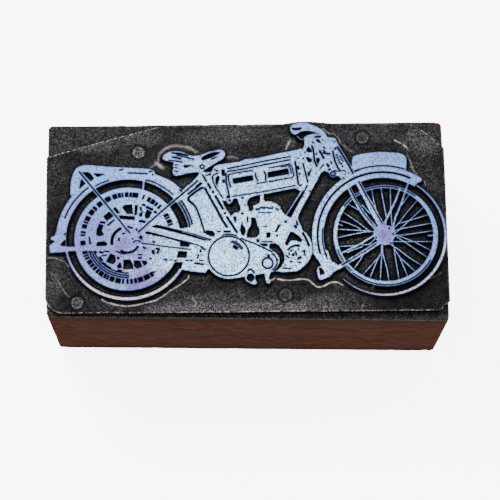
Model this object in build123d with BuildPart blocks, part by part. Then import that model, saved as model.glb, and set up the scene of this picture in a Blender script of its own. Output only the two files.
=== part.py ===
"""A letterpress picture block: an etched zinc plate nailed to a wooden mount, type high.

Millimetres, +Z up. The origin is in the middle of the block's underside, which rests on the press bed.
The plate's upper side carries a motorcycle, drawn the wrong way round because it prints a mirror image.
"""

from build123d import *
from math import atan2, cos, degrees, hypot, radians, sin
import os

# Block
type_height = 23.32  # bed to printing face
plate_gauge = 1.63  # 16 gauge zinc
block_length = 57.15
block_depth = 29.73  # along the deeper, right-hand end
saw_drift = 1.30  # the front is sawn this much out of square over its length
wood_corner = 0.6  # worn upright corners
wood_edge = 0.25  # worn long edges

# Plate
plate_overhang = 0.08  # past each end of the wood
back_inset = 0.60  # plate's back edge to the wood's back
front_inset = 0.27  # plate's front edge to the wood's front, at the left end
plate_drift = 0.20  # the plate's front edge is cut this much out of square over its length
etch_depth = 0.70  # printing face to open ground
back_left_cut = (16.3, 4.45)  # corner clipped off, along the length and the depth
back_right_cut = (4.7, 3.8)
front_left_round = 2.6
front_right_cut = 1.45

# Nails
nail_head_diameter = 1.9
nail_head_thickness = 0.40
nail_head_round = 0.12
nail_seat_depth = 0.28  # head punched this far into the open ground
nail_shank_diameter = 1.0
nail_length = 11.0
nail_point = 1.6
nail_play = 0.02  # between the shank and its hole
nail_inset_back = (3.95, 2.05)  # back pair to the plate's back edge
nail_inset_left = (13.25, 4.55)  # left-hand nails to the plate's left end: back row, front row
nail_inset_right = (11.75, 23.30)  # right-hand nails to the plate's right end: back row, front row
nail_inset_front = (1.55, 2.35)  # front pair to the left end of the plate's front edge

wood_height = type_height - plate_gauge
half_length = block_length / 2
half_depth = block_depth / 2
plate_half = half_length + plate_overhang
plate_back = half_depth - back_inset
plate_front = saw_drift - half_depth + front_inset
ground = type_height - etch_depth

# The picture was drawn for a plate of this size and is enlarged or reduced to fit the plate.
drawn_length = 57.31
drawn_depth = 27.56
scale_of_picture = min(2 * plate_half / drawn_length, (plate_back - plate_front) / drawn_depth)
picture_middle = (plate_back + plate_front) / 2 - 0.485 * scale_of_picture


def at(x, y):
    """A place in the picture as drawn, put on the plate."""
    return (x * scale_of_picture, y * scale_of_picture + picture_middle)


def area(*outline):
    """A straight-sided patch."""
    with BuildSketch() as shape:
        with BuildLine():
            Polyline(*[at(*point) for point in outline], close=True)
        make_face()
    return shape.sketch


def curved(*outline):
    """A patch inside one smooth closed curve."""
    with BuildSketch() as shape:
        with BuildLine():
            Spline(*[at(*point) for point in outline], periodic=True)
        make_face()
    return shape.sketch


def stripe(width, *route):
    """A band of one width along straight runs, mitred at each turn and square at its ends."""
    left, right = [], []
    for index, (x, y) in enumerate(route):
        before = route[max(index - 1, 0)]
        after = route[min(index + 1, len(route) - 1)]
        turn_in = atan2(y - before[1], x - before[0]) if index else None
        turn_out = atan2(after[1] - y, after[0] - x) if index < len(route) - 1 else turn_in
        turn_in = turn_out if turn_in is None else turn_in
        heading = atan2(sin(turn_in) + sin(turn_out), cos(turn_in) + cos(turn_out))
        reach = width / 2 / max(cos(heading - turn_in), 0.5)
        left.append((x - sin(heading) * reach, y + cos(heading) * reach))
        right.append((x + sin(heading) * reach, y - cos(heading) * reach))
    return area(*left, *reversed(right))


def disc(centre, radius):
    with BuildSketch() as shape:
        with Locations(at(*centre)):
            Circle(radius * scale_of_picture)
    return shape.sketch


def ring(centre, radius, width):
    """A band round a whole circle, its middle at the radius."""
    with BuildSketch() as shape:
        with Locations(at(*centre)):
            Circle((radius + width / 2) * scale_of_picture)
            Circle((radius - width / 2) * scale_of_picture, mode=Mode.SUBTRACT)
    return shape.sketch


def arc(centre, radius, width, start, end):
    """A band along part of a circle, from one bearing to another in degrees."""
    outer = (radius + width / 2) * scale_of_picture
    inner = (radius - width / 2) * scale_of_picture
    with BuildSketch() as shape:
        with BuildLine():
            far = CenterArc(at(*centre), outer, start, end - start)
            near = CenterArc(at(*centre), inner, start, end - start)
            Line(far @ 0, near @ 0)
            Line(far @ 1, near @ 1)
        make_face()
    return shape.sketch


def crescent(centre, radius, shift, thin, thick, start, end):
    """A curved line that swells from thin to thick towards the bearing that shift gives."""
    with BuildSketch() as shape:
        with Locations(at(*centre)):
            Circle((radius + thin / 2) * scale_of_picture)
        inner = (centre[0] - (thick - thin) * cos(radians(shift)), centre[1] - (thick - thin) * sin(radians(shift)))
        with Locations(at(*inner)):
            Circle((radius - thin / 2) * scale_of_picture, mode=Mode.SUBTRACT)
        add(arc(centre, radius, 4 * thick, start, end), mode=Mode.INTERSECT)
    return shape.sketch


def around(centre, radius, bearing):
    return (centre[0] + radius * cos(radians(bearing)), centre[1] + radius * sin(radians(bearing)))


# Rear wheel
rear_hub = (-16.95, -2.63)
rear_rim = 7.57
tyre_gap = 1.18
belt_ring = (-16.95, -2.50)


def rear_wheel():
    """The wheel as a disc, and the slots, spoke gaps and lines sunk in it."""
    belt_slots = (
        (116.1, 0.84), (106.6, 0.66), (100.5, 0.42), (96.6, 0.22), (91.3, 0.49), (86.1, 0.34),
        (80.1, 0.84), (69.4, 0.24), (61.6, 0.49), (55.6, 0.59), (50.3, 0.30), (45.0, 0.32),
        (30.7, 0.44), (26.8, 0.24), (21.7, 0.49), (17.2, 0.24), (128.6, 0.74), (136.7, 0.40),
        (143.5, 0.76), (153.0, 0.70), (158.5, 0.22), (164.0, 0.59), (171.8, 0.28), (175.8, 0.22),
        (186.1, 0.66), (198.7, 0.48), (203.3, 0.22), (206.9, 0.28), (213.0, 0.64), (218.5, 0.34),
        (223.5, 0.40), (228.8, 0.38), (234.3, 0.66), (240.2, 0.38), (243.9, 0.30), (249.8, 0.68),
        (257.8, 0.76), (264.3, 0.28), (269.8, 0.28), (274.9, 0.34), (280.3, 0.38), (286.6, 0.70),
        (295.3, 0.86), (302.3, 0.42),
    )
    sunk = [
        stripe(width, around(belt_ring, 6.02, bearing), around(belt_ring, 6.74, bearing))
        for bearing, width in belt_slots
    ]
    sunk += [arc(belt_ring, radius, 0.19, 197, 272) for radius in (5.78, 5.46, 5.14)]
    sunk += [arc((-17.0, -3.1), 2.2, 0.41, 113, 191), arc((-17.0, -2.95), 1.72, 0.33, 236, 334)]
    sunk += [
        area((-17.75, 2.0), (-17.4, 2.35), (-16.3, 2.45), (-16.2, 1.0), (-17.05, 1.05)),
        area((-15.95, 2.35), (-15.5, 2.3), (-15.55, 1.5), (-15.7, 0.8), (-15.95, 0.8)),
        stripe(0.51, (-18.2, 0.58), (-15.95, 0.38)),
        area((-14.2, 1.7), (-13.48, 1.22), (-13.8, 0.5), (-14.2, 0.26), (-14.52, 0.58), (-14.44, 1.14)),
        area((-14.75, 1.6), (-15.3, 0.95), (-15.3, 0.6), (-14.9, 0.55)),
        stripe(0.29, (-15.1, 2.05), (-15.05, 1.5)),
        stripe(0.37, (-14.3, 2.05), (-13.35, 1.55)),
        stripe(0.37, (-13.2, 1.35), (-12.85, 1.12)),
        stripe(0.31, (-14.9, 2.4), (-14.4, 2.25)),
        stripe(0.37, (-15.35, -0.05), (-14.4, -0.18)),
        area((-20.4, 0.7), (-19.6, 1.45), (-18.95, 0.7), (-19.95, 0.0)),
        stripe(0.45, (-18.85, 1.95), (-18.25, 1.15)),
        area((-21.0, -0.4), (-20.35, -0.6), (-20.62, -1.4), (-20.3, -2.0), (-20.9, -2.25), (-21.42, -2.0),
             (-21.35, -1.2)),
        stripe(0.31, (-20.9, -0.12), (-20.1, -0.25)),
        area((-21.45, -3.4), (-21.2, -3.05), (-20.2, -2.98), (-19.8, -3.3), (-19.95, -3.62), (-21.3, -3.66)),
        stripe(0.23, (-19.85, -0.65), (-18.8, 0.24)),
        area((-19.4, -4.75), (-18.75, -5.05), (-18.6, -5.9), (-18.85, -6.25), (-19.1, -6.35), (-20.0, -5.95)),
        area((-18.5, -6.6), (-17.95, -6.0), (-17.75, -6.9), (-18.3, -6.95)),
        area((-17.55, -5.7), (-16.55, -5.7), (-16.2, -6.4), (-16.1, -7.05), (-17.55, -7.1)),
        area((-16.05, -5.8), (-15.2, -5.85), (-14.85, -6.75), (-15.6, -7.02), (-16.05, -6.7)),
        area((-15.0, -5.85), (-14.3, -5.9), (-14.1, -6.25), (-14.6, -6.65)),
        stripe(0.37, (-18.45, -7.3), (-17.75, -7.38)),
        stripe(0.33, (-20.5, -6.05), (-19.95, -6.6), (-19.3, -6.95)),
        stripe(0.33, (-20.95, -5.2), (-20.5, -5.85)),
        stripe(0.33, (-18.45, -5.35), (-18.1, -5.55)),
        area((-15.45, -2.5), (-15.1, -2.15), (-14.85, -2.2), (-14.9, -2.85)),
        area((-13.6, -4.3), (-13.1, -4.35), (-13.1, -5.0), (-13.45, -4.95)),
        stripe(0.29, (-12.95, -4.1), (-12.5, -4.2), (-12.75, -4.9)),
        stripe(0.27, (-13.45, -3.1), (-13.0, -3.18)),
        stripe(0.27, (-14.8, -3.9), (-14.35, -4.1)),
        stripe(0.25, (-17.0, -0.85), (-16.2, -1.1)),
        stripe(0.19, (-17.0, -1.3), (-16.6, -1.85)),
        stripe(0.27, (-15.75, -1.15), (-15.6, -1.45)),
        stripe(0.25, (-18.2, -2.45), (-18.15, -2.95)),
        stripe(0.22, (-17.75, -1.95), (-17.35, -1.8)),
        stripe(0.22, (-16.35, -2.6), (-16.1, -2.66)),
        stripe(0.18, (-16.15, -3.25), (-15.9, -2.95), (-15.3, -2.95), (-15.1, -3.2)),
        stripe(0.22, (-22.4, -2.3), (-22.25, -3.4)),
        stripe(0.24, (-22.3, -4.4), (-22.25, -4.75)),
        stripe(0.33, (-21.6, -4.45), (-21.35, -4.65)),
        stripe(0.29, (-21.0, -4.5), (-20.4, -4.62)),
        stripe(0.20, (-20.3, -4.4), (-19.5, -4.5)),
        stripe(0.20, (-20.6, -5.1), (-19.9, -4.95)),
        stripe(0.20, (-18.6, -4.45), (-17.9, -4.75), (-17.2, -4.85)),
        stripe(0.18, (-15.6, -4.95), (-14.9, -5.0)),
        stripe(0.25, (-15.5, -5.45), (-14.9, -5.5)),
        stripe(0.22, (-13.9, -5.5), (-13.5, -5.6)),
        stripe(0.20, (-13.1, -7.5), (-13.6, -7.65)),
    ]
    sunk += [
        arc(rear_hub, rear_rim + tyre_gap / 2, tyre_gap, start, end)
        for start, end in ((126, 187), (76.6, 120), (42.5, 72.8), (10.5, 36))
    ]
    return [disc(rear_hub, rear_rim)], sunk


def rear_end():
    """Mudguard, luggage carrier and tail."""
    raised = [
        arc(rear_hub, 9.48, 1.45, 8, 178),
        area((-25.15, 3.9), (-25.1, 5.7), (-24.95, 6.5), (-24.7, 7.3), (-24.35, 7.9), (-23.9, 8.2),
             (-23.2, 8.4), (-22.2, 8.35), (-19.8, 8.1), (-17.0, 7.92), (-15.0, 7.8), (-13.8, 7.7),
             (-13.1, 7.4), (-13.0, 6.95), (-12.0, 6.45), (-11.0, 6.05), (-10.2, 5.45), (-9.2, 4.55),
             (-10.5, 4.6), (-14.0, 6.6), (-17.0, 7.3), (-21.0, 6.3), (-23.5, 4.6), (-24.4, 3.4)),
        area((-27.1, -1.4), (-27.3, -2.05), (-27.9, -2.3), (-27.85, -2.62), (-27.3, -2.88), (-28.05, -3.5),
             (-27.95, -4.6), (-25.3, -4.42), (-25.3, -1.4)),
    ]
    sunk = [
        area((-23.45, 7.28), (-22.6, 7.3), (-22.3, 7.1), (-21.75, 6.35), (-22.25, 5.9)),
        area((-21.88, 7.14), (-20.2, 6.98), (-21.32, 6.54)),
        area((-23.6, 6.35), (-22.95, 5.6), (-23.85, 4.85), (-23.8, 5.4)),
        area((-26.5, -3.55), (-26.3, -3.1), (-25.9, -2.7), (-25.75, -2.75), (-25.75, -3.6)),
        area((-26.12, -1.95), (-25.75, -1.6), (-25.75, -1.98)),
        arc(rear_hub, 9.48, 0.19, 126, 161),
        arc(rear_hub, 9.10, 0.15, 107, 121),
        arc(rear_hub, 9.12, 0.17, 44, 71),
        arc(rear_hub, 9.02, 0.22, 10, 36.5),
        arc(rear_hub, 9.42, 0.22, 12, 36.5),
        stripe(0.20, (-18.15, 7.55), (-17.6, 7.65)),
        stripe(0.19, (-17.0, 7.12), (-15.6, 7.08), (-14.1, 6.95)),
        stripe(0.18, (-13.9, 7.25), (-13.4, 7.35)),
        stripe(0.25, (-13.5, 6.85), (-13.25, 6.8)),
        stripe(0.16, (-14.4, 5.98), (-13.9, 5.96)),
    ]
    return raised, sunk


def saddle():
    raised = [
        curved((-11.95, 9.4), (-11.6, 9.9), (-10.9, 10.25), (-9.9, 10.33), (-9.0, 10.15), (-8.0, 9.65),
             (-7.0, 9.58), (-6.3, 9.75), (-5.4, 10.12), (-4.4, 10.35), (-3.6, 10.46), (-3.05, 10.15),
             (-3.0, 9.45), (-4.0, 8.65), (-5.0, 8.02), (-6.0, 7.5), (-6.7, 7.1), (-8.0, 7.5),
             (-10.0, 8.55), (-11.1, 8.78)),
        area((-10.5, 8.7), (-10.36, 8.3), (-10.55, 8.1), (-10.34, 7.8), (-10.55, 7.45), (-10.42, 6.75),
             (-10.0, 6.58), (-9.0, 6.78), (-8.2, 6.98), (-7.0, 7.14), (-6.5, 6.9), (-5.2, 7.6), (-7.0, 8.8)),
    ]
    sunk = [
        stripe(0.25, (-10.6, 9.42), (-9.9, 9.32), (-9.25, 9.1)),
        stripe(0.17, (-9.96, 9.72), (-8.7, 9.38), (-7.45, 9.05)),
        area((-10.75, 10.12), (-9.6, 10.08), (-8.2, 9.68), (-8.4, 9.5), (-9.5, 9.72), (-10.6, 9.95)),
        stripe(0.16, (-11.1, 8.93), (-10.2, 8.84), (-9.0, 8.62)),
        area((-8.98, 8.22), (-8.0, 8.16), (-7.3, 8.08), (-8.2, 7.95), (-8.75, 7.7)),
        area((-6.45, 9.1), (-6.3, 8.9), (-5.9, 8.9), (-5.0, 9.25), (-4.1, 9.7), (-3.65, 10.0), (-3.9, 10.12),
             (-4.6, 10.08), (-5.4, 9.85), (-6.1, 9.5)),
        stripe(0.16, (-5.0, 8.98), (-4.2, 9.32)),
        ring((-6.28, 7.92), 0.30, 0.18),
        stripe(0.16, (-10.2, 8.3), (-9.7, 8.2)),
        stripe(0.16, (-10.2, 7.85), (-9.7, 7.75)),
        stripe(0.16, (-10.3, 7.35), (-9.7, 7.2)),
    ]
    return raised, sunk


def tank():
    raised = [
        area((-4.85, 7.2), (-4.75, 7.65), (-4.4, 8.05), (-4.0, 8.2), (-3.0, 8.35), (-1.0, 8.6), (0.0, 8.98),
             (1.4, 9.1), (3.0, 9.4), (4.6, 9.78), (5.8, 10.0), (7.1, 10.26), (7.1, 4.72), (2.3, 3.86),
             (-2.0, 3.2), (-3.4, 2.9), (-4.0, 4.1), (-4.7, 5.1), (-5.1, 6.1), (-5.0, 6.8)),
    ]
    sunk = [
        stripe(0.18, (-2.7, 7.58), (0.0, 8.1), (2.2, 8.56), (4.4, 8.97), (6.44, 9.3)),
        stripe(0.19, (-2.7, 7.14), (0.0, 7.58), (1.8, 7.93), (3.8, 8.33), (6.44, 8.82)),
        area((-1.96, 6.1), (0.96, 6.58), (1.08, 5.78), (-1.8, 5.3)),
        area((3.08, 6.98), (6.04, 7.54), (6.2, 6.66), (3.16, 6.14)),
        stripe(0.18, (-2.52, 6.7), (-2.5, 5.9), (-2.2, 4.75)),
        stripe(0.16, (-2.5, 6.7), (-1.0, 7.0), (1.0, 7.3)),
        stripe(0.19, (1.32, 6.98), (1.4, 6.34), (1.74, 5.62)),
        stripe(0.21, (2.56, 7.22), (2.82, 6.58), (2.8, 5.7)),
        stripe(0.16, (3.2, 7.6), (4.6, 7.85), (6.3, 8.2), (6.6, 7.8), (6.88, 6.45), (6.62, 6.14),
               (5.2, 5.9), (3.2, 5.55)),
        stripe(0.14, (5.0, 7.72), (6.15, 7.95), (6.34, 7.6), (6.52, 6.7)),
        stripe(0.16, (1.5, 5.3), (3.0, 5.55)),
        stripe(0.16, (-2.0, 3.42), (-0.2, 3.7), (2.0, 4.02), (7.05, 4.94)),
        area((-3.56, 7.5), (-3.02, 7.45), (-3.02, 6.5), (-3.45, 6.5)),
        stripe(0.20, (-4.55, 7.5), (-4.3, 7.32), (-3.95, 7.3)),
        area((-3.4, 5.9), (-3.02, 5.95), (-3.0, 5.45), (-3.35, 5.45)),
        area((-3.95, 6.55), (-3.75, 6.4), (-3.85, 5.9), (-4.05, 5.4), (-4.15, 4.9), (-4.35, 5.5),
             (-4.42, 6.1), (-4.2, 6.45)),
        stripe(0.18, (-3.96, 6.9), (-4.55, 6.75), (-4.84, 6.4), (-4.75, 5.7), (-4.4, 4.85), (-3.9, 4.05),
               (-3.3, 3.12)),
        stripe(0.21, (-2.88, 6.95), (-2.84, 5.6), (-2.6, 4.3), (-2.4, 3.45)),
    ]
    return raised, sunk


# Chaincase: a big cover over the clutch, a small one over the engine shaft
clutch = (-2.60, -5.34)
clutch_case = 3.33
engine_shaft = (2.90, -6.25)
shaft_case = 1.62


def middle():
    """Toolbox, seat tube, stays, engine, chaincase and magneto, with the gaps between them."""
    with BuildSketch() as case:
        add(disc(clutch, clutch_case))
        add(disc(engine_shaft, shaft_case))
        make_hull()
    raised = [
        case.sketch,
        area((-9.1, 4.5), (-8.4, 5.15), (-7.8, 5.6), (-7.3, 6.15), (-6.8, 6.75), (-6.7, 7.2), (-4.9, 7.3),
             (-4.6, 5.2), (-2.0, 3.3), (2.3, 3.92), (7.0, 4.75), (8.0, 4.2), (5.62, 0.5), (6.1, 0.25), (7.3, 0.2),
             (7.48, -0.46), (7.75, -1.1), (7.96, -1.72), (8.44, -2.06), (8.92, -2.78), (9.2, -3.5), (9.32, -4.7),
             (9.2, -5.2), (9.0, -5.74), (8.6, -6.38), (8.04, -6.94), (7.4, -7.45), (7.0, -7.68), (5.0, -7.8),
             (3.0, -7.5), (-5.0, -7.0), (-5.56, -7.26), (-5.96, -7.74), (-7.4, -7.58), (-8.5, -7.42),
             (-9.42, -7.2), (-9.1, -6.15), (-11.0, -6.15), (-13.0, -1.0), (-10.2, 1.0)),
        curved((-0.38, -8.45), (-0.1, -9.1), (0.5, -9.42), (1.1, -9.5), (1.35, -9.25), (1.18, -8.95),
               (1.12, -8.2), (0.8, -7.7), (0.4, -7.55), (-0.1, -7.85)),
        area((2.55, -8.8), (2.7, -9.38), (3.1, -9.45), (3.3, -9.1), (3.0, -8.6), (3.3, -7.7), (2.4, -7.8)),
    ]
    gaps = [
        # toolbox outline and the stays round it
        stripe(0.25, (-8.4, 3.85), (-7.5, 4.5), (-6.9, 5.0)),
        area((-7.3, 4.98), (-6.6, 5.6), (-6.15, 5.45), (-6.9, 4.82)),
        stripe(0.29, (-8.04, 3.54), (-7.0, 4.36), (-6.15, 4.86)),
        stripe(0.31, (-8.1, 3.6), (-8.32, 3.12), (-8.16, 2.85), (-7.4, 2.14)),
        stripe(0.25, (-7.4, 2.14), (-7.0, 1.4), (-6.6, 0.2), (-6.2, -1.1), (-6.02, -1.82), (-5.5, -2.06)),
        stripe(0.29, (-5.96, 4.8), (-5.44, 3.8), (-4.95, 2.85)),
        stripe(0.33, (-4.95, 2.85), (-3.96, 1.0), (-3.5, 0.0), (-2.72, -1.2)),
        stripe(0.31, (-5.5, 5.45), (-5.05, 4.6)),
        stripe(0.31, (-4.9, 4.28), (-4.62, 3.98)),
        stripe(0.33, (-4.46, 3.62), (-3.9, 2.6), (-3.3, 1.5)),
        stripe(0.33, (-2.86, 0.5), (-2.1, -0.75), (-1.34, -1.98)),
        stripe(0.33, (-3.2, 1.1), (-2.98, 0.84)),
        stripe(0.23, (-6.28, 6.78), (-5.95, 6.2), (-5.62, 5.66)),
        area((-5.85, 6.6), (-5.0, 6.98), (-4.98, 6.72), (-5.7, 6.5)),
        area((-6.1, 7.36), (-5.05, 7.95), (-4.98, 7.1), (-5.95, 7.12)),
        area((-5.85, -1.5), (-4.95, -1.6), (-4.55, -1.9), (-4.6, -2.45), (-5.2, -2.4), (-5.8, -2.1)),
        stripe(0.29, (-3.35, -1.72), (-2.3, -1.76)),
        stripe(0.20, (-4.2, -1.72), (-3.7, -1.75)),
        # chain stays
        area((-13.5, -0.85), (-12.8, -0.6), (-10.0, -1.35), (-7.5, -2.0), (-5.0, -2.88), (-5.35, -3.1),
             (-6.3, -2.95), (-8.0, -2.42), (-10.0, -1.82), (-12.5, -1.15), (-13.3, -1.02)),
        area((-14.5, -1.72), (-14.2, -1.55), (-13.6, -1.72), (-12.5, -2.02), (-10.5, -2.62), (-9.3, -2.96),
             (-8.2, -3.22), (-6.8, -3.66), (-6.6, -3.86), (-8.0, -3.5), (-9.6, -3.16), (-10.6, -2.86),
             (-12.3, -2.36), (-13.4, -2.2), (-13.5, -2.05), (-14.3, -1.98)),
        area((-9.5, -3.15), (-8.12, -3.34), (-8.24, -3.9), (-9.48, -3.86)),
        area((-9.75, -4.5), (-8.5, -4.62), (-8.62, -5.52), (-9.96, -5.48)),
        stripe(0.20, (-6.65, -3.86), (-6.2, -4.2), (-5.86, -4.38)),
        stripe(0.25, (-6.6, -4.3), (-6.6, -4.78)),
        stripe(0.16, (-15.0, -3.34), (-13.5, -3.5), (-12.0, -3.8), (-10.0, -4.04), (-8.0, -4.32)),
        stripe(0.21, (-6.86, -5.05), (-7.08, -5.66)),
        stripe(0.25, (-7.5, -6.35), (-6.8, -6.42), (-6.15, -6.55)),
        stripe(0.20, (-8.75, -5.88), (-8.3, -5.92)),
        stripe(0.18, (-8.1, -5.92), (-7.7, -5.94)),
        stripe(0.18, (-6.8, -5.92), (-6.2, -5.96)),
        stripe(0.20, (-11.8, -5.72), (-11.3, -5.8)),
        stripe(0.18, (-11.05, -5.76), (-10.7, -5.84)),
        stripe(0.20, (-10.35, -5.88), (-10.0, -5.96)),
        # round the carburettor and the cylinder
        area((-3.45, 2.85), (-2.95, 2.78), (-2.6, 2.3), (-2.05, 2.5), (-1.92, 3.05), (-1.32, 3.15), (-1.16, 2.58),
             (-0.84, 1.78), (-0.92, 1.22), (-1.8, 0.98), (-2.24, 0.5), (-2.6, 1.14), (-3.16, 2.1)),
        stripe(0.27, (-2.55, 2.95), (-2.25, 2.75)),
        area((-2.9, 3.45), (-2.5, 3.62), (-2.3, 3.5), (-2.35, 3.15), (-2.8, 3.2)),
        area((-1.95, 0.42), (-1.4, 0.44), (-1.6, -0.62)),
        area((-0.68, -0.3), (-0.52, -0.94), (-0.16, -1.34), (-0.2, -1.9), (-0.44, -2.42), (-0.76, -2.22),
             (-0.96, -1.66), (-0.84, -0.86)),
        area((0.6, 0.18), (0.8, 0.3), (1.24, 0.26), (1.4, -0.3), (1.52, -0.94), (1.84, -1.58), (1.8, -2.14),
             (1.4, -2.62), (0.6, -2.7), (-0.04, -2.66), (0.04, -1.9), (0.2, -1.42), (0.6, -0.86), (0.68, -0.3)),
        area((0.12, 2.66), (0.44, 3.2), (1.08, 3.42), (1.94, 3.64), (2.0, 3.22), (1.88, 2.5), (1.4, 2.14),
             (1.0, 2.1), (0.92, 1.46), (0.68, 1.18), (0.36, 1.3), (0.28, 1.86), (0.12, 2.1)),
        area((2.48, 3.72), (3.0, 3.8), (5.0, 4.2), (7.0, 4.56), (7.62, 4.2), (7.76, 4.04), (7.0, 2.86), (5.55, 0.55),
             (5.4, 0.75), (5.0, 1.35), (4.8, 1.85), (4.4, 2.2), (3.9, 2.5), (3.1, 2.7), (2.65, 2.6), (2.5, 3.0)),
        stripe(0.27, (-0.75, 3.18), (-0.32, 3.2)),
        stripe(0.22, (-0.62, 2.62), (-0.5, 2.6)),
        stripe(0.22, (-0.25, 2.08), (-0.12, 2.06)),
        stripe(0.25, (-0.82, 0.9), (-0.36, 0.9)),
        stripe(0.25, (0.12, 0.42), (0.14, -0.3)),
        stripe(0.21, (1.24, 1.56), (1.9, 1.5)),
        stripe(0.22, (2.2, 1.66), (3.0, 1.7), (3.75, 1.56)),
        stripe(0.25, (4.1, 1.5), (4.6, 1.48)),
        stripe(0.16, (1.4, 1.3), (1.8, 1.62), (2.3, 1.86)),
        stripe(0.16, (3.6, 1.9), (3.9, 1.72)),
        stripe(0.13, (1.6, 1.02), (2.8, 0.98), (3.6, 1.02)),
        stripe(0.13, (2.2, -1.05), (2.9, -1.12)),
        stripe(0.58, (3.07, -1.94), (3.05, -2.7)),
        area((4.5, -0.76), (4.8, -0.8), (4.7, -1.15), (4.2, -2.0), (3.98, -1.75), (4.3, -1.3)),
        stripe(0.22, (4.2, -2.6), (4.4, -2.3)),
        stripe(0.29, (5.4, -0.25), (5.7, -0.5)),
        stripe(0.43, (1.55, -2.92), (1.55, -3.34)),
        stripe(0.15, (2.04, -3.28), (3.8, -3.32)),
        area((1.8, -3.56), (2.92, -3.58), (2.92, -3.98), (2.2, -3.9)),
        area((3.3, -3.62), (4.04, -3.54), (4.6, -3.98), (5.08, -4.78), (5.26, -5.3), (5.28, -6.14), (4.76, -7.02),
             (4.3, -7.45), (3.6, -7.62), (4.2, -7.1), (4.6, -6.3), (4.55, -5.6), (4.2, -5.05), (3.5, -4.5),
             (3.1, -4.1)),
        # clutch cover
        ring(clutch, 2.89, 0.21),
        arc(clutch, 3.18, 0.18, 68, 108),
        arc(clutch, 2.26, 0.18, 27, 80),
        arc(clutch, 2.05, 0.18, 27, 82),
        stripe(0.47, (-1.98, -3.82), (-1.35, -4.3)),
        # shaft cover
        ring((2.87, -6.45), 0.76, 0.22),
        stripe(0.35, (3.02, -5.18), (3.02, -5.78)),
        arc(engine_shaft, 1.33, 0.19, -62, 62),
        stripe(0.19, (-0.9, -2.74), (0.0, -3.12), (1.0, -3.52), (2.2, -4.14), (3.0, -4.55), (3.6, -4.86)),
        # kick starter
        curved((0.42, -7.92), (0.88, -8.2), (0.92, -8.75), (0.5, -9.08), (-0.02, -8.85), (-0.1, -8.3)),
        stripe(0.21, (0.02, -7.62), (0.28, -7.32), (0.62, -7.34), (1.0, -7.92)),
        area((1.3, -8.9), (1.32, -8.15), (1.8, -8.02), (2.2, -8.2), (2.42, -8.8)),
        # magneto, and the gap above it
        area((6.2, -1.85), (6.6, -1.95), (7.4, -2.5), (7.9, -3.15), (7.6, -3.48), (7.0, -3.2), (6.2, -3.16),
             (5.78, -3.88), (5.5, -3.85), (5.4, -3.55), (5.85, -2.6)),
        stripe(0.37, (6.75, -0.95), (7.1, -1.35)),
        area((7.0, -0.1), (7.3, -0.55), (7.4, -1.0), (7.05, -0.85)),
        stripe(0.31, (7.9, -2.0), (8.45, -2.95), (8.85, -4.1)),
        stripe(0.25, (5.72, -4.62), (6.2, -4.14), (7.0, -3.84)),
        stripe(0.33, (7.0, -3.88), (7.5, -3.98)),
        stripe(0.27, (7.2, -4.45), (7.4, -4.47)),
        stripe(0.24, (7.75, -4.75), (7.9, -4.75)),
        stripe(0.21, (8.12, -4.5), (8.2, -5.45)),
        stripe(0.37, (7.12, -5.9), (7.7, -5.6)),
        stripe(0.18, (7.2, -6.4), (7.7, -6.4)),
        stripe(0.21, (5.48, -5.34), (5.96, -5.74)),
        stripe(0.16, (5.96, -6.2), (6.44, -6.26)),
        stripe(0.24, (5.25, -6.75), (5.4, -6.8)),
        stripe(0.43, (6.35, -5.2), (6.7, -5.3)),
        stripe(0.22, (5.9, -4.95), (6.0, -5.3)),
        stripe(0.21, (6.85, -4.7), (7.05, -5.4)),
        stripe(0.20, (6.1, -4.75), (6.4, -4.6)),
        stripe(0.16, (4.9, -7.2), (6.3, -7.3)),
    ]
    return raised, gaps


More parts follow.
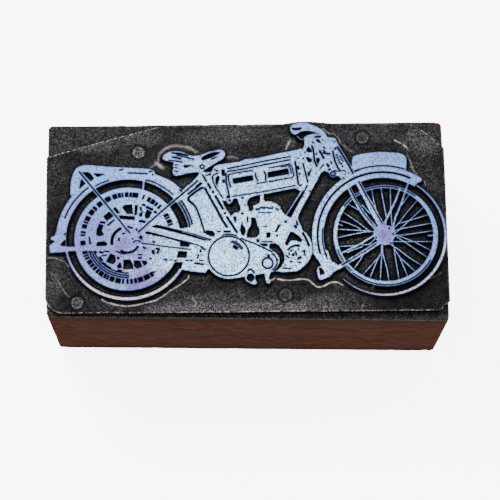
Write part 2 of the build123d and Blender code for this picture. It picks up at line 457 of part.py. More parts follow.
def steering():
    """Handlebar, steering head, front down tube and girder fork head."""
    raised = [
        curved((6.45, 13.5), (6.6, 13.95), (7.2, 14.25), (8.0, 14.4), (8.8, 14.42), (9.5, 14.12), (10.3, 13.78),
               (11.0, 13.33), (11.5, 12.8), (11.7, 12.0), (11.2, 11.9), (10.9, 12.5), (10.3, 12.8), (9.3, 13.1),
               (8.5, 13.12), (7.8, 12.88), (7.2, 12.6), (6.75, 12.75), (6.5, 13.1)),
        area((6.95, 10.24), (7.5, 10.35), (8.05, 10.6), (8.5, 11.15), (8.45, 11.7), (8.4, 12.1), (8.8, 12.45),
             (9.6, 12.65), (10.4, 12.75), (11.6, 12.2), (12.6, 12.1), (13.0, 11.95), (13.25, 11.3), (13.65, 10.5),
             (14.2, 9.55), (14.85, 8.3), (15.5, 7.3), (15.65, 6.6), (15.2, 5.95), (14.5, 5.6), (13.6, 5.9),
             (13.3, 6.28), (12.95, 6.28), (12.5, 6.05), (12.1, 6.25), (11.9, 6.8), (11.3, 7.08), (10.8, 6.85),
             (10.45, 6.2), (10.2, 5.6), (9.95, 5.3), (9.4, 4.25), (8.9, 3.3), (8.42, 2.5), (7.9, 1.5),
             (7.46, 0.65), (7.3, 0.1), (6.3, 0.1), (7.2, 1.86), (8.36, 3.9), (8.05, 4.2), (7.5, 4.25),
             (6.95, 4.6)),
        stripe(0.14, (8.1, 4.25), (7.0, 2.62), (5.6, 0.45)),
        stripe(0.14, (7.45, 12.35), (7.8, 11.95), (8.35, 11.76)),
    ]
    sunk = [
        stripe(0.33, (6.75, 13.5), (7.4, 13.4), (8.1, 13.55)),
        stripe(0.25, (7.08, 8.6), (7.24, 7.3), (7.48, 5.05)),
        stripe(0.22, (8.2, 8.3), (8.52, 6.9), (8.84, 5.35)),
        stripe(0.24, (8.05, 10.4), (8.4, 11.1)),
        area((9.05, 10.8), (8.7, 10.3), (9.0, 9.85), (9.45, 9.9), (9.55, 10.15)),
        area((8.65, 9.2), (9.1, 9.15), (9.55, 8.75), (9.4, 8.4), (9.0, 8.38), (8.75, 8.8)),
        area((10.15, 9.0), (10.5, 9.1), (10.7, 8.8), (10.4, 8.05), (10.15, 8.5)),
        stripe(0.25, (9.5, 10.9), (9.74, 10.4), (9.8, 9.6), (9.86, 8.6), (10.22, 7.72)),
        stripe(0.29, (10.6, 10.18), (10.95, 9.5), (11.24, 8.9)),
        area((10.05, 11.82), (10.6, 11.85), (10.92, 11.2), (10.4, 11.4)),
        stripe(0.25, (9.95, 12.2), (10.9, 12.24)),
        disc((11.12, 11.74), 0.12),
        disc((12.84, 11.48), 0.11),
        disc((8.56, 9.92), 0.12),
        disc((7.5, 9.04), 0.13),
        stripe(0.25, (11.1, 9.86), (11.6, 9.68), (12.2, 9.64)),
        area((11.55, 8.3), (11.8, 8.2), (12.05, 7.75), (11.9, 7.55), (11.6, 7.85)),
        stripe(0.22, (12.2, 8.5), (12.36, 8.1)),
        stripe(0.27, (11.8, 7.2), (12.2, 7.36)),
        area((8.9, 6.9), (9.3, 7.3), (9.58, 7.72), (9.3, 7.0), (9.05, 6.2), (8.85, 6.6)),
        ring((12.48, 6.64), 0.34, 0.19),
        stripe(0.24, (12.52, 10.1), (12.76, 8.74), (13.16, 7.62), (13.5, 7.14)),
        stripe(0.25, (13.16, 10.74), (14.04, 9.22), (14.84, 7.78), (15.4, 6.58)),
        stripe(0.14, (13.48, 9.38), (14.04, 8.34)),
        stripe(0.15, (12.6, 7.16), (13.3, 6.98), (14.2, 7.14)),
        disc((14.3, 6.95), 0.11),
        disc((14.75, 6.72), 0.11),
        disc((14.26, 6.5), 0.10),
        stripe(0.18, (13.9, 6.1), (14.15, 5.8)),
        stripe(0.35, (7.4, 7.85), (7.6, 7.35)),
        stripe(0.25, (7.6, 6.75), (7.85, 6.65)),
        stripe(0.22, (9.0, 4.2), (9.2, 4.05)),
        stripe(0.24, (7.6, 4.9), (8.0, 5.05)),
        stripe(0.22, (8.5, 4.8), (8.68, 4.75)),
        stripe(0.20, (11.15, 10.7), (11.45, 10.4)),
        stripe(0.18, (11.1, 10.2), (11.5, 9.95)),
        stripe(0.22, (10.1, 9.7), (10.3, 9.6)),
        stripe(0.16, (10.6, 7.4), (11.2, 8.1)),
        stripe(0.18, (9.6, 11.5), (9.9, 11.2)),
        stripe(0.16, (8.8, 5.0), (8.0, 3.5), (7.1, 1.9)),
        stripe(0.16, (8.15, 9.0), (8.4, 8.95)),
        stripe(0.31, (12.86, 10.55), (12.98, 10.3)),
    ]
    sunk += [
        stripe(0.23, (x - 0.12, y + 0.06), (x + 0.12, y + 0.14))
        for x, y in ((13.1, 9.35), (13.18, 8.95), (13.32, 8.58), (13.46, 8.22), (13.72, 8.02), (13.88, 7.62))
    ]
    return raised, sunk


# Front wheel
front_hub = (19.47, -2.62)
front_rim = (19.77, -2.57)
front_tread = (19.62, -2.55)
guard_split = 9.42


def front_wheel():
    with BuildSketch() as rim:
        add(disc(front_rim, 7.47))
        add(disc((19.70, -2.42), 6.83), mode=Mode.SUBTRACT)
        lines = [
            arc(front_rim, 7.24, 0.15, 52, 143),
            arc(front_rim, 7.24, 0.15, 228, 330),
            arc(front_rim, 7.20, 0.14, 196, 226),
        ]
        add(lines, mode=Mode.SUBTRACT)
    hub = curved((18.1, -2.0), (18.5, -1.3), (19.2, -0.95), (20.0, -1.1), (20.9, -1.5), (21.1, -2.4), (20.75, -3.4),
                 (20.2, -3.9), (19.3, -3.95), (18.5, -3.3), (18.0, -2.6))
    spokes = [
        stripe(0.14, (17.96, 4.4), (18.15, 2.9), (18.5, 1.2)),
        stripe(0.15, (19.3, 4.6), (19.5, 2.9), (19.98, -0.1), (19.75, -1.2)),
        stripe(0.14, (20.64, 4.5), (20.6, 1.4), (20.7, -1.2)),
        stripe(0.26, (22.05, 4.4), (21.32, 2.5), (20.7, 1.3), (20.2, 0.3), (19.5, -1.0)),
        stripe(0.24, (23.3, 5.3), (22.76, 3.86), (22.2, 2.26), (21.8, 1.3), (21.24, 0.1), (20.8, -1.5)),
        stripe(0.13, (23.45, 3.6), (22.2, 1.9)),
        stripe(0.12, (24.5, 2.6), (23.0, 0.9), (21.64, -0.86), (20.7, -1.8)),
        stripe(0.13, (25.4, 1.6), (23.08, -0.54), (20.9, -2.5)),
        stripe(0.14, (26.1, 0.46), (23.0, -0.5), (21.48, -0.9)),
        stripe(0.14, (26.6, -0.82), (22.28, -1.58), (20.9, -1.92)),
        stripe(0.13, (26.5, -1.98), (23.1, -2.46), (21.1, -2.66)),
        stripe(0.24, (26.6, -2.66), (25.75, -2.7)),
        stripe(0.13, (26.6, -3.58), (20.8, -3.5)),
        stripe(0.13, (26.3, -5.0), (23.8, -3.6), (21.2, -2.5)),
        stripe(0.13, (25.8, -6.05), (24.04, -4.78), (22.44, -3.6), (20.9, -2.55)),
        stripe(0.15, (24.95, -7.2), (23.0, -5.9), (21.56, -4.7), (20.1, -3.7)),
        stripe(0.15, (23.95, -8.1), (21.64, -5.8), (21.05, -4.8), (20.5, -3.4)),
        stripe(0.13, (22.75, -8.75), (22.12, -7.1), (21.66, -5.9)),
        stripe(0.14, (21.5, -9.4), (21.16, -6.94), (20.88, -4.6)),
        stripe(0.14, (20.02, -9.4), (19.8, -7.5), (19.3, -5.5), (19.16, -4.8)),
        stripe(0.14, (18.75, -9.4), (18.92, -7.5), (19.1, -5.4)),
        stripe(0.14, (17.25, -8.95), (18.04, -7.1), (18.7, -5.7), (19.14, -5.0)),
        stripe(0.13, (16.2, -8.45), (17.8, -6.7), (18.68, -5.7), (19.1, -5.1)),
        stripe(0.30, (19.15, -5.2), (19.2, -3.7)),
        stripe(0.13, (15.05, -7.5), (16.04, -6.14), (16.6, -5.1)),
        stripe(0.14, (12.95, -4.14), (15.4, -4.04)),
        stripe(0.13, (12.85, -2.86), (15.0, -2.38), (17.0, -2.02), (18.3, -2.0)),
        stripe(0.13, (12.9, -1.58), (15.0, -1.74), (17.6, -1.94)),
        stripe(0.16, (12.95, -0.75), (13.68, -1.1)),
        stripe(0.12, (13.1, -0.24), (14.6, -0.78), (15.8, -1.34), (16.4, -1.85)),
        stripe(0.12, (13.65, 1.0), (15.0, 0.04), (16.2, -0.86), (17.4, -1.9)),
        stripe(0.12, (14.5, 2.12), (16.0, 1.2)),
        stripe(0.13, (16.5, 1.96), (17.3, 1.0), (18.2, 0.2)),
        stripe(0.26, (13.2, -5.2), (14.6, -4.55), (16.04, -3.82), (18.2, -2.5)),
        stripe(0.12, (14.2, -5.05), (15.2, -4.6), (16.4, -4.2)),
        stripe(0.14, (16.3, -3.95), (17.4, -3.88), (17.9, -3.4), (18.4, -2.9)),
    ]
    blades = [
        stripe(0.56, (14.55, 4.9), (15.35, 3.1), (16.28, 1.3), (17.3, -0.22), (18.45, -1.6)),
        stripe(0.80, (15.8, 5.9), (16.4, 4.6), (16.84, 3.6), (17.6, 2.1)),
        stripe(0.94, (17.5, 2.3), (18.15, 0.95), (19.1, -0.95)),
        stripe(0.58, (12.7, -7.32), (14.0, -6.55), (17.0, -4.75), (18.9, -3.5)),
    ]
    grooves = [
        stripe(0.19, (14.8, 4.5), (15.5, 3.05), (16.36, 1.3), (17.32, -0.1), (18.1, -1.1)),
        stripe(0.20, (16.1, 5.5), (16.9, 3.85), (17.7, 2.28), (18.5, 0.74), (19.3, -0.75)),
        stripe(0.18, (13.35, -6.85), (14.2, -6.4), (17.0, -4.72), (18.4, -3.75)),
        stripe(0.20, (17.85, -0.15), (18.15, -0.7)),
        disc((18.55, -1.15), 0.14),
        disc((20.3, -1.55), 0.16),
        disc((20.85, -2.4), 0.14),
        disc((18.4, -2.9), 0.14),
        stripe(0.18, (20.3, -3.6), (20.55, -3.85)),
    ]
    return [rim.sketch, hub] + spokes + blades, grooves


def front_guard():
    """Front mudguard with its number plate, its flap and the line of the tyre's tread."""
    raised = [
        arc(front_hub, 9.38, 1.64, 57, 199),
        curved((23.3, 6.6), (24.3, 6.4), (25.0, 5.95), (25.28, 5.6), (25.0, 5.3), (24.4, 5.06), (23.6, 5.1)),
        area((9.36, -4.0), (9.4, -5.2), (9.72, -5.6), (10.2, -6.3), (10.48, -6.95), (9.98, -7.1), (9.8, -7.74),
             (10.04, -8.7), (10.28, -9.02), (10.6, -8.94), (11.16, -8.7), (11.64, -8.54), (11.96, -8.14),
             (12.2, -7.9), (12.52, -7.7), (13.0, -7.34), (12.76, -6.78), (12.44, -6.46), (11.98, -6.34),
             (11.72, -5.5), (11.44, -4.7)),
        area((15.24, 7.0), (15.24, 8.74), (15.4, 9.14), (15.96, 9.46), (17.2, 9.68), (19.0, 9.86), (20.36, 9.8),
             (21.96, 9.7), (22.76, 9.38), (23.12, 8.9), (23.08, 7.7), (22.98, 6.9), (19.5, 7.3)),
        crescent(front_tread, 8.76, 330, 0.19, 0.40, -134, 57),
    ]
    sunk = [
        arc(front_hub, guard_split, 0.27, 64, 196),
        arc(front_hub, 10.38, 0.17, 71, 112),
        arc(front_hub, 8.76, 0.15, 172, 203),
        area((10.12, -7.26), (10.5, -7.2), (10.92, -7.82), (10.92, -8.14), (10.28, -8.28)),
        disc((12.12, -7.3), 0.11),
        stripe(0.20, (11.1, -5.0), (11.3, -5.5)),
    ]
    return raised, sunk


def overlay():
    """What crosses the open gaps: the stays, each a tube drawn as two lines, the tail bar and the rear tread."""
    tubes = (
        (0.52, 0.20, ((-23.95, 7.45), (-22.3, 5.35), (-20.6, 3.25), (-19.2, 1.45), (-17.9, -0.2), (-17.0, -1.45))),
        (0.56, 0.22, ((-15.45, -1.7), (-12.5, 1.0), (-9.7, 3.42), (-7.5, 5.3), (-6.9, 5.88))),
    )
    raised = [stripe(width, *route) for width, groove, route in tubes]
    raised += [
        stripe(0.66, (-27.9, -4.02), (-19.3, -4.02)),
        crescent(rear_hub, 8.84, 275, 0.27, 0.45, 191, 329),
        stripe(0.26, (-14.62, 6.0), (-14.75, 4.6)),
        stripe(0.08, (-9.2, -1.68), (-7.4, -2.2), (-5.4, -2.98)),
    ]
    return raised, [stripe(groove, *route) for width, groove, route in tubes]


def plate_outline():
    """The zinc, guillotined along its ends and clipped at its corners, left full behind the handlebar."""
    left, right = -plate_half, plate_half
    clip_start = (left, plate_back - back_left_cut[1])
    clip_end = (left + back_left_cut[0], plate_back)
    bump = [at(x, y) for x, y in ((4.6, 14.34), (6.6, 14.62), (8.1, 14.8), (9.3, 14.79), (11.2, 14.6), (14.4, 14.44))]
    bump = [(x, plate_back + max(y - at(0, 14.265)[1], 0)) for x, y in bump]
    with BuildSketch() as shape:
        with BuildLine():
            Spline(clip_start, ((clip_start[0] + clip_end[0]) / 2, plate_back - back_left_cut[1] / 2 + 0.12),
                   clip_end)
            Line(clip_end, bump[0])
            Spline(*bump)
            Line(bump[-1], (right - back_right_cut[0], plate_back))
            Spline((right - back_right_cut[0], plate_back),
                   (right - 0.42 * back_right_cut[0], plate_back - 0.47 * back_right_cut[1]),
                   (right, plate_back - back_right_cut[1]))
            Polyline((right, plate_back - back_right_cut[1]),
                     (right, plate_front - plate_drift + front_right_cut),
                     (right - front_right_cut, plate_front - plate_drift), (left, plate_front), clip_start)
        make_face()
        fillet(shape.vertices().sort_by_distance((left, plate_front))[0], front_left_round)
    return shape.sketch


nail_places = (
    (nail_inset_left[0] - plate_half, plate_back - nail_inset_back[0]),
    (plate_half - nail_inset_right[0], plate_back - nail_inset_back[1]),
    (nail_inset_left[1] - plate_half, plate_front + nail_inset_front[0]),
    (plate_half - nail_inset_right[1], plate_front + nail_inset_front[1]),
)
nail_top = ground - nail_seat_depth + nail_head_thickness


def nail(place, play=0.0):
    """A flat-headed wire nail with a plain point, driven until its head sits in the ground of the plate."""
    head = nail_head_diameter / 2 + play
    shank = nail_shank_diameter / 2 + play
    seat = nail_top - nail_head_thickness
    tip = nail_top - nail_length - play
    with BuildPart() as piece:
        with BuildSketch(Plane(origin=(*place, 0), x_dir=(1, 0, 0), z_dir=(0, -1, 0))):
            with BuildLine():
                Polyline((0, nail_top), (head, nail_top), (head, seat), (shank, seat), (shank, tip + nail_point),
                         (0, tip), close=True)
            make_face()
        revolve(axis=Axis((*place, 0), (0, 0, 1)))
        if not play:
            fillet(piece.edges().filter_by(GeomType.CIRCLE).sort_by(Axis.Z)[-1], nail_head_round)
    return piece.part


# Wooden mount
with BuildPart() as wood_mount:
    with BuildSketch():
        with BuildLine():
            Polyline((-half_length, half_depth), (half_length, half_depth), (half_length, -half_depth),
                     (-half_length, saw_drift - half_depth), close=True)
        make_face()
    extrude(amount=wood_height)
    fillet(wood_mount.edges().filter_by(Axis.Z), wood_corner)
    chamfer(wood_mount.faces().sort_by(Axis.Z)[0].edges(), wood_edge)
    for place in nail_places:
        add(nail(place, nail_play), mode=Mode.SUBTRACT)
wood_mount.part.label = "wood_mount"

# Picture, as one flat outline: everything raised, less everything sunk, with the overlay on top
drawing = [rear_wheel(), rear_end(), saddle(), tank(), middle(), steering(), front_wheel(), front_guard()]
with BuildSketch() as picture:
    add([shape for raised, sunk in drawing for shape in raised])
    add([shape for raised, sunk in drawing for shape in sunk], mode=Mode.SUBTRACT)
    over, under = overlay()
    add(over)
    add(under, mode=Mode.SUBTRACT)
    add(plate_outline(), mode=Mode.INTERSECT)

# Printing plate
with BuildPart() as printing_plate:
    with BuildSketch(Plane.XY.offset(wood_height)):
        add(plate_outline())
    extrude(amount=plate_gauge - etch_depth)
    with BuildSketch(Plane.XY.offset(ground)):
        add(picture.sketch)
    extrude(amount=etch_depth)
    for place in nail_places:
        add(nail(place, nail_play), mode=Mode.SUBTRACT)
printing_plate.part.label = "printing_plate"

# Nails
with BuildPart() as plate_nails:
    add([nail(place) for place in nail_places])
plate_nails.part.label = "plate_nails"

os.makedirs("parts", exist_ok=True)
for piece in (wood_mount, printing_plate, plate_nails):
    export_step(piece.part, f"parts/{piece.part.label}.step")
    print(piece.part.label, len(piece.part.solids()), round(piece.part.volume, 1))
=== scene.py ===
"""A letterpress picture block, dressed round its CAD frame. Metres, +Z up.

The zinc plate keeps its CAD solid, because its printing face is crisp and flat. What lies between the
raised lines is a separate skin with sloping etched shoulders, routed ridges and a worn outer arris that
carries a painted highlight. The wooden mount and the nails are surfaces of their own in the places of their
CAD solids.
"""

import math

import bpy
import numpy as np
from mathutils import Matrix, Vector


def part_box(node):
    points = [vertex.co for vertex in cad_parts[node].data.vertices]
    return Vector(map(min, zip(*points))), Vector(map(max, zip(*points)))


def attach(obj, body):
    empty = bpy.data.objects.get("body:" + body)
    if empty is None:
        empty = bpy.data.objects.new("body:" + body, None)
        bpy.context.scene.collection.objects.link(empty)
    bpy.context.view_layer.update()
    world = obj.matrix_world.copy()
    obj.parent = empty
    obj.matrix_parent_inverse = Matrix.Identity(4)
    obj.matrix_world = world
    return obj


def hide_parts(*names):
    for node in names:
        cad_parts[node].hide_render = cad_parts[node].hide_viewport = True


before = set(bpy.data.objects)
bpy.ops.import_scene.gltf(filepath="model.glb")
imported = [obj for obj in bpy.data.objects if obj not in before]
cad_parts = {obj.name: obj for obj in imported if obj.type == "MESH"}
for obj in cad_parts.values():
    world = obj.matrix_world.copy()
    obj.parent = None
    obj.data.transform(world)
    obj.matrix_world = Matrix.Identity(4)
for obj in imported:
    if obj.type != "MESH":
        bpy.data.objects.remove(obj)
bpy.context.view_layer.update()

MM = 0.001


# ---------------------------------------------------------------- meshes

def piece(name, points, faces, look, fields=None, stands_for=()):
    """A mesh from an array of points in millimetres and an array of faces, with one number per point for
    each named field. It rides on the block and takes the given material as its finish."""
    mesh = bpy.data.meshes.new(name)
    mesh.from_pydata((np.asarray(points, float) * MM).tolist(), [], np.asarray(faces).tolist())
    for field, values in (fields or {}).items():
        attribute = mesh.attributes.new(field, "FLOAT", "POINT")
        attribute.data.foreach_set("value", values.astype(np.float32))
    mesh.shade_smooth()
    mesh.materials.append(look)
    made = bpy.data.objects.new(name, mesh)
    bpy.context.scene.collection.objects.link(made)
    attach(made, "root")
    if stands_for:
        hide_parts(*stands_for)


def quads(rows, columns, closed=False):
    """Faces of a grid of points numbered row by row. A closed grid joins its last column to its first."""
    last = columns if closed else columns - 1
    i, j = np.meshgrid(np.arange(rows - 1), np.arange(last), indexing="ij")
    k = (j + 1) % columns
    here, there = i * columns, (i + 1) * columns
    return np.stack([here + j, here + k, there + k, there + j], -1).reshape(-1, 4)


def cloud(x, y, cell, seed):
    """Smooth random heights from -1 to 1: random numbers on a square lattice, blended by 3t^2 - 2t^3."""
    size = 251
    table = np.random.default_rng(seed).uniform(-1, 1, (size, size))
    u, v = np.asarray(x) / cell + 1000.0, np.asarray(y) / cell + 1000.0
    i, j = np.floor(u).astype(int), np.floor(v).astype(int)
    a, b = u - i, v - j
    a, b = a * a * (3 - 2 * a), b * b * (3 - 2 * b)

    def corner(p, q):
        return table[(i + p) % size, (j + q) % size]

    near_row = corner(0, 0) * (1 - a) + corner(1, 0) * a
    far_row = corner(0, 1) * (1 - a) + corner(1, 1) * a
    return near_row * (1 - b) + far_row * b


def smooth(value, start, end):
    """0 before start, 1 after end, and 3t^2 - 2t^3 between."""
    t = np.clip((value - start) / (end - start), 0, 1)
    return t * t * (3 - 2 * t)


def nearest(x, y, starts, ends):
    """For each point, the closest place on a set of straight segments and the distance to it."""
    best = np.full(x.shape, 1e9)
    where = np.zeros(x.shape + (2,))
    for (ax, ay), (bx, by) in zip(starts, ends):
        dx, dy = bx - ax, by - ay
        t = np.clip(((x - ax) * dx + (y - ay) * dy) / max(dx * dx + dy * dy, 1e-12), 0, 1)
        px, py = ax + t * dx, ay + t * dy
        distance = np.hypot(x - px, y - py)
        closer = distance < best
        best = np.where(closer, distance, best)
        where = np.where(closer[..., None], np.stack([px, py], -1), where)
    return best, where


# ---------------------------------------------------------------- materials

def blank(name, roughness, metallic=0.0, specular=0.5):
    """A new material with one shader, whose constant values are set on the shader itself."""
    made = bpy.data.materials.new(name)
    made.use_nodes = True
    tree = made.node_tree
    tree.nodes.clear()
    shader = tree.nodes.new("ShaderNodeBsdfPrincipled")
    shader.inputs["Roughness"].default_value = roughness
    shader.inputs["Metallic"].default_value = metallic
    shader.inputs["Specular IOR Level"].default_value = specular
    output = tree.nodes.new("ShaderNodeOutputMaterial")
    tree.links.new(shader.outputs["BSDF"], output.inputs["Surface"])
    return made, tree, shader


def wire(tree, kind, inputs, **settings):
    """A node with its settings, and with each input either linked or given a value."""
    made = tree.nodes.new(kind)
    for key, value in settings.items():
        setattr(made, key, value)
    for key, value in inputs.items():
        if isinstance(value, bpy.types.NodeSocket):
            tree.links.new(value, made.inputs[key])
        else:
            made.inputs[key].default_value = value
    return made


def place(tree):
    return tree.nodes.new("ShaderNodeTexCoord").outputs["Object"]


def stretch(tree, vector, scale, turn=(0, 0, 0)):
    settings = {"Vector": vector, "Scale": scale, "Rotation": turn}
    return wire(tree, "ShaderNodeMapping", settings).outputs["Vector"]


def noise(tree, vector, size, detail=3.0, rough=0.5):
    """Noise whose blotches are about this many millimetres across."""
    settings = {"Vector": vector, "Scale": 1 / (size * MM), "Detail": detail, "Roughness": rough}
    return wire(tree, "ShaderNodeTexNoise", settings).outputs["Fac"]


def between(tree, value, low, high, start=0.0, end=1.0):
    """The value carried from one range to another, held at both ends."""
    settings = {"Value": value, "From Min": low, "From Max": high, "To Min": start, "To Max": end}
    return wire(tree, "ShaderNodeMapRange", settings).outputs["Result"]


def combined(tree, operation, a, b):
    return wire(tree, "ShaderNodeMath", {0: a, 1: b}, operation=operation).outputs[0]


def times(tree, a, b):
    return combined(tree, "MULTIPLY", a, b)


def plus(tree, a, b):
    return combined(tree, "ADD", a, b)


def larger(tree, a, b):
    return combined(tree, "MAXIMUM", a, b)


def scaled(tree, mask, start, end):
    """A mask from 0 to 1, carried to another pair of ends."""
    return between(tree, mask, 0.0, 1.0, start, end)


def mix(tree, share, a, b):
    """One colour turning into another."""
    return wire(tree, "ShaderNodeMix", {0: share, 6: a, 7: b}, data_type="RGBA").outputs[2]


def field(tree, name):
    return wire(tree, "ShaderNodeAttribute", {}, attribute_name=name).outputs["Fac"]


def dents(tree, shader, height, depth):
    """Bump of this many millimetres from a height between 0 and 1."""
    made = wire(tree, "ShaderNodeBump", {"Height": height, "Strength": 1.0, "Distance": depth * MM})
    tree.links.new(made.outputs["Normal"], shader.inputs["Normal"])


def height_of(tree):
    return wire(tree, "ShaderNodeSeparateXYZ", {0: place(tree)}).outputs["Z"]


def near(tree, x, y, inner, outer):
    """1 inside a circle on the plate, fading to 0 outside a wider one. Millimetres."""
    flat = stretch(tree, place(tree), (1, 1, 0))
    centre = (x * MM, y * MM, 0)
    away = wire(tree, "ShaderNodeVectorMath", {0: flat, 1: centre}, operation="DISTANCE")
    return between(tree, away.outputs["Value"], inner * MM, outer * MM, 1.0, 0.0)


# ---------------------------------------------------------------- the frame's own sizes

def points_of(node):
    """A CAD node's points in millimetres."""
    flat = np.zeros(len(node.data.vertices) * 3, np.float32)
    node.data.vertices.foreach_get("co", flat)
    return flat.reshape(-1, 3).astype(float) / MM


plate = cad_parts["printing_plate"]
corners = points_of(plate)
plate.data.calc_loop_triangles()
triangles = np.zeros(len(plate.data.loop_triangles) * 3, np.int32)
plate.data.loop_triangles.foreach_get("vertices", triangles)
triangles = triangles.reshape(-1, 3)
face_z = corners[:, 2].max()
sheet_z = corners[:, 2].min()
# The open ground is the level between sheet and face that most of the plate's points lie on.
levels, shared = np.unique(np.round(corners[:, 2], 3), return_counts=True)
between_faces = (levels > sheet_z + 0.5) & (levels < face_z - 0.3)
ground = float(levels[np.argmax(shared * between_faces)])

nail_points = points_of(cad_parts["plate_nails"])
nail_top, nail_tip = nail_points[:, 2].max(), nail_points[:, 2].min()
tips = nail_points[nail_points[:, 2] < nail_tip + 1e-3][:, :2]
nails = np.unique(np.round(tips, 2), axis=0)
nail_radius = nail_points[:, 0].max() - nails[:, 0].max()

wood_points = points_of(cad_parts["wood_mount"])
wood_low, wood_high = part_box("wood_mount")
wood_low, wood_high = np.array(wood_low) / MM, np.array(wood_high) / MM


def rim(level):
    """Start and end points of the edges that bound the flat faces of the plate at one height: the sides
    that only one of that height's triangles has."""
    flat = np.all(np.abs(corners[triangles][:, :, 2] - level) < 1e-3, axis=1)
    keys = np.round(corners[:, :2] / 1e-4).astype(np.int64)
    _, welded = np.unique(keys, axis=0, return_inverse=True)
    welded = welded.ravel()
    sides = triangles[flat][:, [0, 1, 1, 2, 2, 0]].reshape(-1, 2)
    pair = np.sort(welded[sides], axis=1)
    _, first, count = np.unique(pair, axis=0, return_index=True, return_counts=True)
    alone = sides[first[count == 1]]
    return corners[alone[:, 0], :2], corners[alone[:, 1], :2]


def inside(starts, ends, xs, ys):
    """Which points of a grid lie inside closed outlines. Along each row the crossings to the left of a point
    are counted, and an odd count is inside."""
    low, high = np.minimum(starts[:, 1], ends[:, 1]), np.maximum(starts[:, 1], ends[:, 1])
    first, last = np.searchsorted(ys, low), np.searchsorted(ys, high)
    count = last - first
    edge = np.repeat(np.arange(len(low)), count)
    row = np.arange(count.sum()) - np.repeat(np.cumsum(count) - count, count) + first[edge]
    part = (ys[row] - starts[edge, 1]) / (ends[edge, 1] - starts[edge, 1])
    crossing = starts[edge, 0] + part * (ends[edge, 0] - starts[edge, 0])
    hits = np.zeros((len(ys), len(xs) + 1), int)
    np.add.at(hits, (row, np.searchsorted(xs, crossing)), 1)
    return np.cumsum(hits, axis=1)[:, :-1] % 2 == 1


def reach(mask, limit):
    """Distance in cells from each grid point to the nearest point of the mask, up to the limit: the shortest
    of all the offsets that land on it."""
    span = int(math.ceil(limit))
    wide = np.pad(mask, span)
    rows, columns = mask.shape
    best = np.full(mask.shape, float(limit))
    for down in range(-span, span + 1):
        for across in range(-span, span + 1):
            length = math.hypot(down, across)
            if length < limit:
                hit = wide[span + down: span + down + rows, span + across: span + across + columns]
                np.minimum(best, np.where(hit, length, limit), out=best)
    return best


# ---------------------------------------------------------------- etched ground

# Ridges that the router left beside the picture, and scratches: width, height, brightness and route. The
# brightness is bare metal and partly a painted highlight.
RIDGES = (
    (0.34, 0.14, 0.24, ((-12.3, 10.1), (-11.7, 10.75), (-11.0, 11.1), (-10.0, 11.3), (-9.0, 11.1),
                        (-8.0, 10.9), (-7.1, 10.35))),
    (0.20, 0.12, 0.16, ((-12.5, 9.9), (-12.6, 9.0), (-12.9, 8.5), (-13.7, 8.1))),
    (0.34, 0.14, 0.36, ((-12.9, 8.75), (-12.4, 8.3), (-11.9, 7.95))),
    (0.18, 0.12, 0.34, ((6.5, 11.9), (6.15, 11.25), (5.8, 10.6))),
    (0.26, 0.10, 0.12, ((-2.7, 9.4), (-1.9, 9.5), (-1.1, 9.25))),
    (0.13, 0.10, 0.16, ((11.2, 13.6), (12.2, 12.8), (12.8, 12.9), (13.4, 12.2), (13.8, 11.3), (14.4, 10.8),
                        (15.0, 10.3), (15.6, 9.9))),
    (0.09, 0.06, 0.95, ((21.5, 11.8), (22.0, 11.5), (22.4, 11.3))),
    (0.09, 0.06, 0.60, ((22.6, 11.2), (23.2, 10.7), (23.5, 10.3))),
    (0.10, 0.05, 0.22, ((23.2, 9.7), (23.7, 8.6), (24.0, 7.3), (24.6, 6.6))),
    (0.09, 0.05, 0.40, ((25.6, 5.6), (25.75, 5.0))),
    (0.13, 0.10, 0.85, ((3.3, -8.85), (3.9, -8.5))),
    (0.13, 0.12, 0.95, ((4.3, -8.65), (5.0, -8.8), (6.0, -8.85), (7.0, -8.75), (8.0, -8.7), (8.7, -8.85),
                        (9.3, -9.4), (9.8, -9.85), (10.3, -9.9), (10.9, -9.7), (11.5, -9.35), (12.0, -9.2),
                        (12.7, -9.2), (13.2, -9.45), (13.5, -9.7))),
    (0.12, 0.12, 0.70, ((-20.6, -11.3), (-20.0, -11.7), (-18.5, -12.15), (-17.0, -12.35), (-15.8, -12.2),
                        (-13.0, -11.55), (-12.0, -10.95), (-11.0, -10.2), (-10.0, -9.6), (-9.0, -8.9),
                        (-8.4, -8.4), (-8.3, -8.0))),
    (0.12, 0.07, 0.13, ((-27.9, -7.3), (-27.4, -7.7), (-26.8, -8.6), (-26.2, -9.6), (-25.8, -10.3),
                        (-25.3, -10.8))),
    (0.14, 0.09, 0.18, ((-28.4, -5.2), (-27.6, -5.1), (-26.9, -5.3), (-26.0, -5.7), (-25.3, -6.5))),
    (0.12, 0.05, 0.22, ((-7.85, -10.9), (-7.75, -11.5), (-7.2, -12.0), (-7.4, -12.4))),
    (0.12, 0.05, 0.10, ((25.6, -9.0), (26.5, -8.6), (27.5, -8.0))),
    (0.10, 0.05, 0.45, ((16.1, -13.1), (16.25, -12.6))),
    (0.09, 0.04, 0.30, ((17.6, -10.1), (18.1, -9.7))),
    (0.09, 0.04, 0.25, ((12.8, 3.4), (13.0, 3.0))),
)
